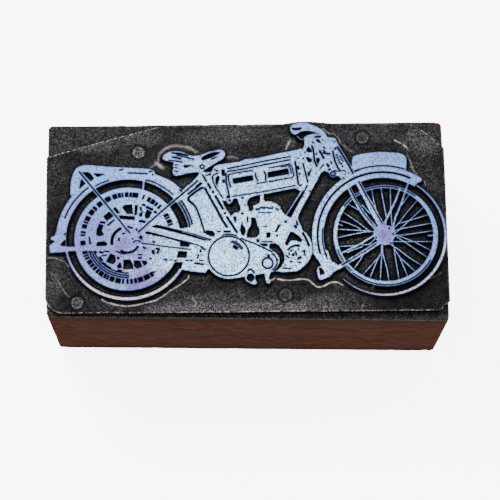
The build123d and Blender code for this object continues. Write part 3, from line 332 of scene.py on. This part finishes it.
# Where the ground is rubbed lighter, partly as a painted sheen that is strongest at the front middle: centre,
# half widths and strength.
RUBBED_AND_SHEEN = (
    (0.0, -12.9, 15.5, 1.5, 0.95), (-3.0, -11.8, 6.5, 1.9, 0.40), (10.5, -12.2, 4.5, 1.4, 0.50),
    (-2.0, 12.9, 9.5, 1.7, 0.36), (-24.0, 11.7, 7.0, 1.4, 0.60), (-15.4, 12.6, 5.0, 1.3, 0.45),
    (25.5, 11.6, 3.0, 2.2, 0.50), (19.0, 12.6, 6.0, 1.2, 0.20), (-27.4, -8.8, 1.3, 4.0, 0.30),
    (6.5, 11.6, 0.8, 0.9, 0.60), (26.5, -11.5, 2.0, 1.2, 0.20),
)
CELL = 0.05  # the fine grid that measures; the skin takes every second point
SHOULDER = 0.36  # how far an etched shoulder runs out from a raised line
UNDER_FACE = 0.035  # the shoulders stop this far under the printing face
FLOOR = 0.055  # middle height of the etched floor over the CAD ground
SINK = 0.02  # the skin's outer edge dips this far under the CAD ground
ROUNDING = 0.16  # width over which the floor rounds down to the plate's edge


def floor_heights(x, y):
    """The etched floor over the CAD ground: three sizes of smooth noise, level round each nail."""
    floor = FLOOR + 0.016 * cloud(x, y, 3.1, 1) + 0.012 * cloud(x, y, 0.9, 2) + 0.008 * cloud(x, y, 0.31, 3)
    for cx, cy in nails:
        away = np.hypot(x - cx, y - cy)
        floor = floor * smooth(away, nail_radius + 0.05, nail_radius + 0.45)
    return np.maximum(floor, 0.0)


def ridges(x, y):
    """Height and brightness of the ridges: a Gaussian of the distance to each route, wavering by noise."""
    ridge, bright = np.zeros_like(x), np.zeros_like(x)
    for width, tall, shine, route in RIDGES:
        away, _ = nearest(x, y, route[:-1], route[1:])
        away = away + 0.05 * cloud(x, y, 0.5, 4)
        lump = np.exp(-(away / width) ** 2) * (0.78 + 0.35 * cloud(x, y, 0.7, 5))
        core = np.exp(-(away / (0.60 * width)) ** 2) * (1.0 + 0.35 * cloud(x, y, 0.35, 11))
        ridge = np.maximum(ridge, tall * lump)
        bright = np.maximum(bright, shine * core)
    return ridge, bright


def edge_wear_and_highlight(x, y, margin):
    """Bare metal and a painted highlight along the plate's arris: a Gaussian of the distance to the edge,
    broken up by noise. Most is along the clipped back-left corner, the rounded front-left one and the front."""
    patches = 0.50 + 0.7 * cloud(x, y, 0.36, 6) + 0.7 * cloud(x, y, 0.15, 9) + 0.35 * cloud(x, y, 2.3, 7)
    line = np.clip(np.exp(-((margin - 0.13) / 0.055) ** 2) * patches, 0, 1)
    clip = 0.95 * smooth(-0.27 * x + y, 16.2, 17.2) * (x < -12)
    front = smooth(-y, 12.7, 13.1) * (0.55 + 0.40 * np.exp(-((x - 1.0) / 11.0) ** 2))
    left = (x < -26.3) * (y < -11) * 0.9 + (x < -28.2) * (y > -11) * 0.30
    rest = 0.24 + 0.25 * (x > 24) * (y > 9)
    return line * np.maximum.reduce([clip, front, left, rest])


def rubbed_and_sheen_places(x, y):
    """Strength of the ovals that are rubbed lighter, partly as a painted sheen, whose outlines waver by
    noise.
    """
    rubbed_and_sheen = np.zeros_like(x)
    for cx, cy, wide, long, strength in RUBBED_AND_SHEEN:
        far = np.hypot((x - cx) / wide, (y - cy) / long) + 0.22 * cloud(x, y, 1.4, 8)
        rubbed_and_sheen = np.maximum(rubbed_and_sheen, strength * (1 - smooth(far, 0.35, 1.25)))
    return rubbed_and_sheen


def dark_rings(x, y, out):
    """1 close to the raised lines and round the nail heads, where the ink stays."""
    halo = 1 - smooth(out, 0.10, 0.62)
    for cx, cy in nails:
        away = np.hypot(x - cx, y - cy) - nail_radius
        halo = np.maximum(halo, 0.9 * np.exp(-((away - 0.12) / 0.18) ** 2))
    return halo


def etched_ground(look):
    """The skin between the raised lines. Its height over the CAD ground is a gently uneven floor, blended
    into shoulders that rise beside each raised line by (1 - distance/width)^1.5 to just under the printing
    face, plus the ridges, and it rounds down to nothing at the plate's outer edge."""
    island_starts, island_ends = rim(face_z)
    outline_starts, outline_ends = rim(sheet_z)
    middles = (outline_starts + outline_ends) / 2
    apart = np.min(np.hypot(*(middles[:, None] - nails[None]).transpose(2, 0, 1)), axis=1)
    outline_starts, outline_ends = outline_starts[apart > 1.5], outline_ends[apart > 1.5]

    # Each grid line is off the round numbers, so that no crossing falls exactly on a corner.
    low, high = corners[:, :2].min(0) - 0.3, corners[:, :2].max(0) + 0.3
    xs, ys = np.arange(low[0], high[0], CELL) + 0.0131, np.arange(low[1], high[1], CELL) + 0.0137
    raised = inside(island_starts, island_ends, xs, ys)
    zinc = inside(outline_starts, outline_ends, xs, ys)
    out = reach(raised, 14)[::2, ::2] * CELL
    deep = reach(~raised, 7)[::2, ::2] * CELL
    margin = reach(~zinc, 12)[::2, ::2] * CELL
    zinc = zinc[::2, ::2]
    x, y = np.meshgrid(xs[::2], ys[::2])

    ridge, bright = ridges(x, y)
    shoulder = np.clip(1 - out / SHOULDER, 0, 1) ** 1.5
    tall = floor_heights(x, y) + ridge * (1 - shoulder)
    rise = tall * (1 - shoulder) + (face_z - ground - UNDER_FACE) * shoulder
    z = ground - SINK + (rise + SINK) * smooth(margin, 0.0, ROUNDING)

    # The skin leaves out what lies well under a raised face, and its outer points land on the plate's edge.
    points = np.stack([x, y, z], -1).reshape(-1, 3)
    faces = quads(*x.shape)
    kept = zinc.ravel()[faces].any(1) & ~(deep.ravel()[faces] > 0.22).all(1)
    faces = faces[kept]
    used = np.unique(faces)
    outer = used[~zinc.ravel()[used]]
    _, landed = nearest(points[outer, 0], points[outer, 1], outline_starts, outline_ends)
    points[outer, :2] = landed
    points[outer, 2] = ground - SINK

    fields = {"bright": bright, "rubbed_and_sheen": rubbed_and_sheen_places(x, y), "worn_and_highlit": edge_wear_and_highlight(x, y, margin),
              "shoulder": shoulder, "halo": dark_rings(x, y, out)}
    middle = points[faces][:, :, 0].mean(1)
    for name, chosen in (("etched_ground_left", middle < 0), ("etched_ground_right", middle >= 0)):
        used, packed = np.unique(faces[chosen], return_inverse=True)
        own = {key: values.ravel()[used] for key, values in fields.items()}
        piece(name, points[used], packed.reshape(-1, 4), look, own)


def ground_look():
    """Ink-blackened zinc: near black, speckled with painted grey glints, lighter where it is rubbed and where
    a painted sheen brightens it, darkest close to the raised lines, bluish on the shoulders, and bare warm
    metal, partly a painted highlight, on rubbed ridges and edges."""
    look, tree, shader = blank("etched_ground", 0.5, 0.0, 0.015)
    spot = place(tree)
    fine = noise(tree, spot, 0.17, 2.0, 0.75)
    tiny = noise(tree, spot, 0.10, 1.0)
    coarse = noise(tree, spot, 0.6, 3.0, 0.65)
    patchy = noise(tree, spot, 4.0, 2.0)

    thick_ink, thin_ink = (0.0022, 0.0021, 0.0023, 1), (0.0080, 0.0079, 0.0086, 1)
    colour = mix(tree, between(tree, coarse, 0.40, 0.60), thick_ink, thin_ink)
    # Painted glints: grey specks that stand in for sparkle off the ink's sheen.
    glints = larger(tree, between(tree, fine, 0.59, 0.65), between(tree, tiny, 0.62, 0.68))
    glints = times(tree, glints, between(tree, patchy, 0.40, 0.60, 0.20, 0.80))
    colour = mix(tree, glints, colour, (0.095, 0.092, 0.092, 1))

    # Rubbed lighter, and partly a painted sheen brightening the ground towards the front middle.
    rubbed_and_sheen = times(tree, field(tree, "rubbed_and_sheen"), between(tree, fine, 0.46, 0.60, 0.03, 1.0))
    colour = mix(tree, rubbed_and_sheen, colour, (0.108, 0.102, 0.107, 1))
    sooty = times(tree, near(tree, 24.5, -11.0, 1.5, 9.0), 0.75)
    colour = mix(tree, sooty, colour, (0.0022, 0.0020, 0.0020, 1))
    colour = mix(tree, times(tree, field(tree, "halo"), 0.85), colour, (0.0020, 0.0016, 0.0020, 1))
    blue = between(tree, field(tree, "shoulder"), 0.25, 0.95, 0.0, 0.75)
    colour = mix(tree, blue, colour, (0.0030, 0.0040, 0.0130, 1))

    # Bare warm metal on the ridges, partly a painted highlight.
    bare_and_highlight = times(tree, field(tree, "bright"), between(tree, fine, 0.40, 0.54, 0.25, 1.0))
    colour = mix(tree, bare_and_highlight, colour, (0.60, 0.53, 0.52, 1))
    # Bare metal along the plate's arris, partly a painted highlight.
    arris = times(tree, field(tree, "worn_and_highlit"), between(tree, fine, 0.44, 0.53, 0.05, 1.0))
    colour = mix(tree, arris, colour, (0.52, 0.45, 0.42, 1))
    tree.links.new(colour, shader.inputs["Base Color"])
    tree.links.new(between(tree, coarse, 0.3, 0.7, 0.42, 0.62), shader.inputs["Roughness"])
    dents(tree, shader, plus(tree, fine, coarse), 0.035)
    return look


# Tinted patches of the printing face: centre, inner and outer radius, and strength.
VIOLET = ((-17.0, -4.0, 0.8, 6.0, 1.0), (19.5, -2.6, 0.3, 3.0, 1.0), (-15.0, -9.3, 1.0, 5.0, 1.0),
          (-22.0, -3.0, 1.0, 8.0, 0.75))
# The worn lower parts of the two tyres: a patch, and the axle that its tread lies round.
TREADS = (((-16.9, -10.5, 7.5, 9.0), (-16.95, -2.63)), ((21.5, -8.5, 8.0, 9.5), (19.62, -2.55)))
TREAD_INNER, TREAD_OUTER = 8.3, 8.6


def plate_look():
    """The plate's own solid. The printing face is blue-grey zinc, its strong blue a painted reflection of a
    blue sky, with a frosty grain and a few dark pits, duller away from the engine where a painted sheen
    fades, tinted violet round the hubs and cyan at the back, with ink left along the edges of its lines. The
    treads of the tyres are rubbed whiter. Everything below the face is black, which on the plate's outer
    sides is a painted shade."""
    look, tree, shader = blank("printing_face", 0.45, 0.0, 0.2)
    spot = place(tree)
    grain = noise(tree, spot, 0.19, 1.0)
    fleck = noise(tree, spot, 0.30, 1.0)
    blotch = noise(tree, spot, 0.50, 2.0, 0.6)
    wash = noise(tree, spot, 2.6, 3.0)

    # The strong blue is a painted reflection of a blue sky on the zinc.
    deep_blue, pale_blue, frost = (0.060, 0.145, 0.42, 1), (0.18, 0.46, 0.94, 1), (0.68, 0.93, 1.0, 1)
    zinc = mix(tree, between(tree, blotch, 0.44, 0.56), deep_blue, pale_blue)
    zinc = mix(tree, between(tree, grain, 0.45, 0.54), zinc, frost)
    # Painted sheen: brightest by the engine, fading to a duller blue away from it.
    sheen_fade = between(tree, near(tree, 1.0, -7.0, 6.0, 26.0), 0.15, 0.95, 0.84, 0.10)
    zinc = mix(tree, sheen_fade, zinc, (0.066, 0.130, 0.34, 1))
    zinc = mix(tree, between(tree, wash, 0.44, 0.60, 0.0, 0.35), zinc, (0.22, 0.27, 0.60, 1))

    violet = 0.0
    for x, y, inner, outer, strength in VIOLET:
        violet = larger(tree, violet, times(tree, near(tree, x, y, inner, outer), strength))
    violet = times(tree, violet, between(tree, wash, 0.40, 0.58, 0.55, 1.0))
    zinc = mix(tree, violet, zinc, (0.115, 0.070, 0.29, 1))
    cyan = times(tree, near(tree, -17.5, 5.5, 1.5, 7.0), between(tree, wash, 0.44, 0.58, 0.15, 0.75))
    zinc = mix(tree, cyan, zinc, (0.12, 0.34, 0.80, 1))

    tread = 0.0
    for patch, axle in TREADS:
        outside = scaled(tree, near(tree, *axle, TREAD_INNER, TREAD_OUTER), 1.0, 0.0)
        tread = larger(tree, tread, times(tree, near(tree, *patch), outside))
    tread = times(tree, tread, between(tree, grain, 0.42, 0.52, 0.45, 0.95))
    zinc = mix(tree, tread, zinc, (0.50, 0.49, 0.54, 1))
    small_pits = between(tree, grain, 0.43, 0.39, 0.0, 0.55)
    large_pits = between(tree, fleck, 0.39, 0.34, 0.0, 0.75)
    zinc = mix(tree, larger(tree, small_pits, large_pits), zinc, (0.020, 0.034, 0.105, 1))

    # Ink gathers where the face is close to its own edge. Less of it stays on the spokes.
    edge = wire(tree, "ShaderNodeAmbientOcclusion", {"Distance": 0.24 * MM}, inside=True, only_local=True,
                samples=12).outputs["AO"]
    rear_spokes = scaled(tree, near(tree, -17.0, -2.6, 5.0, 6.0), 0.0, 0.45)
    spokes = larger(tree, near(tree, 19.6, -2.55, 5.9, 6.4), rear_spokes)
    inked = times(tree, between(tree, edge, 0.50, 0.92, 0.85, 0.0), scaled(tree, spokes, 1.0, 0.50))
    zinc = mix(tree, inked, zinc, (0.012, 0.016, 0.060, 1))

    # Below the face everything is black and without sheen; on the plate's outer sides this is a painted
    # shade.
    below = between(tree, height_of(tree), (face_z - 0.012) * MM, (face_z - 0.004) * MM, 1.0, 0.0)
    colour = mix(tree, below, zinc, (0.0018, 0.0016, 0.0022, 1))
    tree.links.new(colour, shader.inputs["Base Color"])
    tree.links.new(scaled(tree, below, 0.25, 0.0), shader.inputs["Metallic"])
    tree.links.new(scaled(tree, below, 0.2, 0.0), shader.inputs["Specular IOR Level"])
    dents(tree, shader, grain, 0.010)
    return look


# ---------------------------------------------------------------- nails

SHANK = 0.5  # half the thickness of the hidden shank
CROWN_DROP = 0.055  # how far the crown falls from its middle to its rim
CROWN_STEPS = 18


def nail_profile():
    """Radius and height over the ground from the middle of the crown, over the rim and down the shank to the
    point. The crown is (1 - cos)^1.3 over a quarter turn."""
    top, tip = nail_top - ground, nail_tip - ground
    crown = np.linspace(0, 1, CROWN_STEPS) * math.pi / 2
    head_radius = np.concatenate([nail_radius * np.sin(crown), [nail_radius * 0.985, nail_radius * 0.97]])
    head_level = np.concatenate([top - CROWN_DROP * (1 - np.cos(crown)) ** 1.3, [top - 0.22, top - 0.38]])
    shank_radius = [SHANK * 1.3, SHANK, SHANK, SHANK, SHANK * 0.45, 0.0]
    shank_level = [top - 0.39, top - 0.45, tip * 0.5, tip + 1.6, tip + 0.6, tip + 0.02]
    radius, level = np.concatenate([head_radius, shank_radius]), np.concatenate([head_level, shank_level])
    return radius, level, len(head_radius)


def nail_heads(look):
    """Each nail is one profile turned about its axis. The head's radius wavers by two slow waves, and hammer
    dimples lower the crown by smooth noise."""
    turns = np.linspace(0, 2 * math.pi, 72, endpoint=False)
    radius, level, head_count = nail_profile()
    order = np.arange(len(radius))[:, None]
    all_points, all_faces, rims, glints, start = [], [], [], [], 0
    for number, (cx, cy) in enumerate(nails):
        r, angle = np.meshgrid(radius, turns, indexing="ij")
        two_waves = 0.03 * (1 + np.sin(2 * angle + number)) / 2
        three_waves = 0.035 * (1 + np.sin(3 * angle + 2.1 * number)) / 2
        r = np.where(order < head_count, r * (1 - two_waves - three_waves), r)
        px, py = cx + r * np.cos(angle), cy + r * np.sin(angle)
        wide_dimples = 0.014 * (1 + cloud(px, py, 0.42, 20 + number))
        small_dimples = 0.011 * (1 + cloud(px, py, 0.20, 30 + number))
        z = level[:, None] - (wide_dimples + small_dimples) * (order < CROWN_STEPS)
        grid = np.stack([px, py, z + ground], -1).reshape(-1, 3)
        all_points.append(grid)
        all_faces.append(quads(len(radius), len(turns), closed=True)[:, ::-1] + start)
        part = r / nail_radius
        rims.append(np.clip((part - 0.90) / 0.06, 0, 1).ravel())
        low_side = 0.45 + 0.55 * smooth(-np.sin(angle - 0.3), -0.2, 0.7)
        glints.append((low_side * np.exp(-((part - 0.80) / 0.09) ** 2)).ravel())
        start += len(grid)
    fields = {"rim": np.concatenate(rims), "glint": np.concatenate(glints)}
    points, faces = np.concatenate(all_points), np.concatenate(all_faces)
    piece("nails", points, faces, look, fields, ("plate_nails",))


def nail_look():
    """Steel under ink: near black, with worn pale specks, most on the two nails at the left, a broken glint
    inside the rim, and a dark rim."""
    look, tree, shader = blank("nail_heads", 0.5, 0.0, 0.02)
    spot = place(tree)
    fine = noise(tree, spot, 0.19, 2.0, 0.7)
    coarse = noise(tree, spot, 0.5, 2.0)
    front_left = scaled(tree, near(tree, -24.1, -11.7, 1.0, 2.0), 0.10, 0.32)
    back_left = scaled(tree, near(tree, -15.4, 10.3, 1.0, 2.0), 0.0, 0.75)
    pale = larger(tree, front_left, back_left)

    dark_steel, grey_steel = (0.0060, 0.0059, 0.0062, 1), (0.0150, 0.0148, 0.0152, 1)
    colour = mix(tree, between(tree, coarse, 0.42, 0.58), dark_steel, grey_steel)
    colour = mix(tree, times(tree, pale, 0.60), colour, (0.022, 0.021, 0.022, 1))
    specks = times(tree, between(tree, fine, 0.50, 0.62), pale)
    colour = mix(tree, specks, colour, (0.22, 0.205, 0.21, 1))
    glint = times(tree, field(tree, "glint"), between(tree, fine, 0.46, 0.58, 0.04, 0.65))
    colour = mix(tree, glint, colour, (0.14, 0.132, 0.134, 1))
    colour = mix(tree, field(tree, "rim"), colour, (0.0018, 0.0016, 0.0018, 1))
    tree.links.new(colour, shader.inputs["Base Color"])
    dents(tree, shader, fine, 0.04)
    return look


# ---------------------------------------------------------------- wooden mount

CORNER = 0.6  # radius of the wood's upright corners
ARRIS = 0.28  # radius of its top and bottom edges
SPACING = 0.23  # between points along the outline
CAP_RINGS = np.array([0.985, 0.95, 0.88, 0.75, 0.5, 0.25, 0.0])  # the top and bottom close in by these


def mount_outline():
    """Points round the sawn outline, with round upright corners. Each carries the direction that points out
    of the wood. The front is out of square, so the outline's four corners are not at right angles."""
    left_front = wood_points[wood_points[:, 0] < wood_low[0] + 1.0][:, 1].min()
    right_front = wood_points[wood_points[:, 0] > wood_high[0] - 1.0][:, 1].min()
    slope = math.atan((right_front - left_front) / (wood_high[0] - wood_low[0]))
    ring = np.array([(wood_low[0], left_front), (wood_high[0], wood_low[1]), (wood_high[0], wood_high[1]),
                     (wood_low[0], wood_high[1])])
    headings = [slope, math.pi / 2, math.pi, 1.5 * math.pi]
    points, normals = [], []
    for index in range(4):
        here, there = ring[index], ring[(index + 1) % 4]
        length = np.hypot(*(there - here))
        along = np.linspace(CORNER, length - CORNER, max(int(length / SPACING), 2))
        points.append(here + (there - here) * (along / length)[:, None])
        last, following = headings[index], headings[(index + 1) % 4]
        out = np.array([math.sin(last), -math.cos(last)])
        normals.append(np.repeat(out[None], len(along), 0))
        turn = (following - last) % (2 * math.pi)
        bend = last + turn * np.linspace(0, 1, 8)[1:-1]
        arc = np.stack([np.sin(bend), -np.cos(bend)], -1)
        next_out = np.array([math.sin(following), -math.cos(following)])
        points.append(there - CORNER * out - CORNER * next_out + CORNER * arc)
        normals.append(arc)
    return np.concatenate(points), np.concatenate(normals)


def timber_chips(s, h, px, py, corner):
    """Chips along the top and bottom edges and the upright corners, where smooth noise is above a level,
    fading by a Gaussian of the distance to the edge, and one broken corner at the back right."""
    from_edge = np.minimum(h, wood_high[2] - h)
    chips = 0.10 * np.clip(cloud(s, h, 1.3, 43) - 0.25, 0, 1) * np.exp(-(from_edge / 0.7) ** 2)
    chips += 0.22 * np.clip(cloud(s, h, 0.8, 44) - 0.45, 0, 1) * np.exp(-(from_edge / 0.3) ** 2)
    chips += 0.22 * corner * np.clip(cloud(s, h, 1.0, 45) - 0.1, 0, 1)
    broken = np.hypot(px - wood_high[0], py - wood_high[1])
    chips += 0.10 * np.exp(-(broken / 0.7) ** 2) * np.exp(-((wood_high[2] - h) / 0.8) ** 2)
    return chips


def timber_block(look):
    """The outline carried up the block's height. Near the top and the bottom it moves in by a quarter circle,
    and then closes to the middle in rings. The sides are lowered by fine saw marks and grain, and the edges
    by chips."""
    outline, outward = mount_outline()
    count = len(outline)
    bend = np.linspace(0, math.pi / 2, 6)
    sides = np.arange(ARRIS, wood_high[2] - ARRIS, 0.26)[1:]
    level = np.concatenate([ARRIS - ARRIS * np.cos(bend), sides, wood_high[2] - ARRIS + ARRIS * np.sin(bend)])
    inset = np.concatenate([ARRIS - ARRIS * np.sin(bend), np.zeros(len(sides)), ARRIS - ARRIS * np.cos(bend)])
    s, h = np.meshgrid(np.arange(count) * SPACING, level)
    shape = (len(level), count)
    px, py = np.broadcast_to(outline[:, 0], shape), np.broadcast_to(outline[:, 1], shape)
    ox, oy = np.broadcast_to(outward[:, 0], shape), np.broadcast_to(outward[:, 1], shape)

    grain = 0.012 * (1 + cloud(s / 5.0, h, 0.34, 40)) + 0.008 * (1 + cloud(s / 3.0, h, 0.9, 41))
    marks = 0.008 * (1 + cloud(s, h / 14.0, 0.75, 42))
    chips = timber_chips(s, h, px, py, np.abs(ox * oy) > 0.05)
    back = np.repeat(inset[:, None], count, 1) + grain + marks + chips
    wall = np.stack([px - ox * back, py - oy * back, h - 0.35 * chips * (h > 3)], -1)

    rings = len(CAP_RINGS)
    steps = CAP_RINGS[:, None, None]
    above, under = np.full((rings, count, 1), wood_high[2] - 0.004), np.zeros((rings, count, 1))
    top_rings = np.concatenate([wall[-1][:, :2] * steps, above], -1)
    low_rings = np.concatenate([wall[0][:, :2] * steps[::-1], under], -1)
    points = np.concatenate([low_rings, wall, top_rings]).reshape(-1, 3)
    faces = quads(len(level) + 2 * rings, count, closed=True)
    chipped = np.zeros((len(level) + 2 * rings, count))
    chipped[rings:-rings] = np.clip(chips * 4, 0, 1)
    piece("timber_block", points, faces, look, {"chipped": chipped.ravel()}, ("wood_mount",))


def timber_look():
    """Old hardwood with its grain along the block: fine dark pores and streaks that are long in X, faint
    bands, ink over the top and down from the top edge, and bare warm wood in the chips."""
    look, tree, shader = blank("inked_timber", 0.6, 0.0, 0.0)
    spot = place(tree)
    streak = noise(tree, stretch(tree, spot, (0.30, 1, 1)), 0.62, 3.0, 0.6)
    pores = noise(tree, stretch(tree, spot, (0.30, 1, 1)), 0.20, 2.0, 0.6)
    broad = noise(tree, stretch(tree, spot, (0.40, 1, 1)), 3.2, 3.0, 0.55)
    waves = {"Vector": stretch(tree, spot, (0.06, 1, 1), (0.35, 0, 0)), "Scale": 120.0, "Distortion": 3.0,
             "Detail": 3.0, "Detail Scale": 1.4}
    bands = wire(tree, "ShaderNodeTexWave", waves, wave_type="BANDS", bands_direction="Y").outputs["Fac"]

    red_brown, light_brown = (0.0150, 0.0062, 0.0042, 1), (0.0250, 0.0110, 0.0074, 1)
    colour = mix(tree, between(tree, streak, 0.42, 0.58), red_brown, light_brown)
    colour = mix(tree, between(tree, broad, 0.42, 0.60, 0.0, 0.6), colour, (0.0215, 0.0112, 0.0082, 1))
    colour = mix(tree, between(tree, bands, 0.55, 1.0, 0.0, 0.12), colour, (0.0115, 0.0048, 0.0032, 1))
    colour = mix(tree, between(tree, pores, 0.56, 0.64, 0.0, 0.45), colour, (0.0070, 0.0034, 0.0024, 1))

    soaked = plus(tree, height_of(tree), between(tree, broad, 0.35, 0.65, -0.5 * MM, 0.5 * MM))
    stain = between(tree, soaked, (wood_high[2] - 3.2) * MM, (wood_high[2] - 0.6) * MM, 0.0, 0.70)
    colour = mix(tree, stain, colour, (0.0092, 0.0066, 0.0056, 1))
    # Painted shade: the wood darkens towards the floor over its lowest 3 mm.
    foot_shade = between(tree, height_of(tree), 0.1 * MM, 3.0 * MM, 0.55, 0.0)
    colour = mix(tree, foot_shade, colour, (0.0075, 0.0034, 0.0022, 1))
    colour = mix(tree, field(tree, "chipped"), colour, (0.045, 0.020, 0.011, 1))

    normal = tree.nodes.new("ShaderNodeNewGeometry").outputs["Normal"]
    upward = wire(tree, "ShaderNodeSeparateXYZ", {0: normal}).outputs["Z"]
    fleck = noise(tree, spot, 0.17, 1.0)
    crumb = noise(tree, spot, 0.8, 2.0, 0.6)
    thick_ink, thin_ink = (0.0085, 0.0085, 0.0082, 1), (0.0165, 0.0165, 0.0160, 1)
    ink = mix(tree, between(tree, crumb, 0.40, 0.60), thick_ink, thin_ink)
    ink = mix(tree, between(tree, fleck, 0.58, 0.70, 0.0, 0.75), ink, (0.090, 0.092, 0.086, 1))
    colour = mix(tree, between(tree, upward, 0.45, 0.85), colour, ink)
    # Painted highlight: lighter specks along the rounded top edge, where the surface turns from the side to
    # the top.
    arris = times(tree, between(tree, upward, 0.30, 0.60), between(tree, upward, 0.75, 0.95, 1.0, 0.0))
    arris = times(tree, arris, between(tree, fleck, 0.44, 0.56, 0.10, 0.75))
    colour = mix(tree, arris, colour, (0.060, 0.058, 0.046, 1))
    worn_corner = times(tree, near(tree, 28.2, 14.4, 0.3, 1.2), between(tree, broad, 0.3, 0.6, 0.4, 0.9))
    colour = mix(tree, worn_corner, colour, (0.030, 0.015, 0.010, 1))
    tree.links.new(colour, shader.inputs["Base Color"])
    tree.links.new(between(tree, streak, 0.3, 0.7, 0.52, 0.70), shader.inputs["Roughness"])
    dents(tree, shader, plus(tree, streak, pores), 0.04)
    return look


# ---------------------------------------------------------------- make the block

zinc_face = plate_look()
for held in plate.material_slots:
    held.link = "OBJECT"
    held.material = zinc_face
etched_ground(ground_look())
nail_heads(nail_look())
timber_block(timber_look())


# ---------------------------------------------------------------- stage, lights and camera

def stage_floor():
    """A pale floor that glows a little, so that it stays near white round the block."""
    look, _, shader = blank("pale_floor", 0.9, 0.0, 0.1)
    shader.inputs["Base Color"].default_value = (0.93, 0.93, 0.93, 1)
    shader.inputs["Emission Color"].default_value = (1, 1, 1, 1)
    shader.inputs["Emission Strength"].default_value = 6.0
    mesh = bpy.data.meshes.new("floor")
    half = 1.5
    square = [(-half, -half, 0), (half, -half, 0), (half, half, 0), (-half, half, 0)]
    mesh.from_pydata(square, [], [(0, 1, 2, 3)])
    mesh.materials.append(look)
    made = bpy.data.objects.new("floor", mesh)
    bpy.context.scene.collection.objects.link(made)


def softbox(name, where, size, power):
    """A square soft light that faces the block."""
    light = bpy.data.lights.new(name, "AREA")
    light.size = size
    light.energy = power
    made = bpy.data.objects.new(name, light)
    made.location = where
    made.rotation_euler = (Vector((0, 0, 0.012)) - Vector(where)).to_track_quat("-Z", "Y").to_euler()
    bpy.context.scene.collection.objects.link(made)


stage_floor()
world = bpy.data.worlds.new("room")
world.use_nodes = True
world.node_tree.nodes["Background"].inputs["Color"].default_value = (0.95, 0.97, 1.0, 1)
world.node_tree.nodes["Background"].inputs["Strength"].default_value = 1.0
bpy.context.scene.world = world
softbox("key", (-0.22, 0.30, 0.42), 0.22, 6.5)
softbox("fill", (0.30, 0.12, 0.40), 0.30, 1.6)


def camera():
    """Looks down on the block from just in front of it, turned and tilted a little off its sides."""
    rise, turn, roll = math.radians(75.703), math.radians(-3.0412), math.radians(2.2588)
    back = Vector((math.sin(turn) * math.cos(rise), -math.cos(turn) * math.cos(rise), math.sin(rise)))
    right = Vector((math.cos(turn), math.sin(turn), 0))
    up = back.cross(right)
    rolled_right = right * math.cos(roll) + up * math.sin(roll)
    rolled_up = up * math.cos(roll) - right * math.sin(roll)
    eye = Vector((0.5638, -1.6161, 12.0)) * MM + back * 0.287724
    lens = bpy.data.cameras.new("camera")
    lens.lens = 140.01
    lens.sensor_width = 36.0
    lens.clip_start = 0.01
    made = bpy.data.objects.new("camera", lens)
    made.matrix_world = Matrix((rolled_right, rolled_up, back)).transposed().to_4x4()
    made.location = eye
    bpy.context.scene.collection.objects.link(made)
    bpy.context.scene.camera = made


camera()
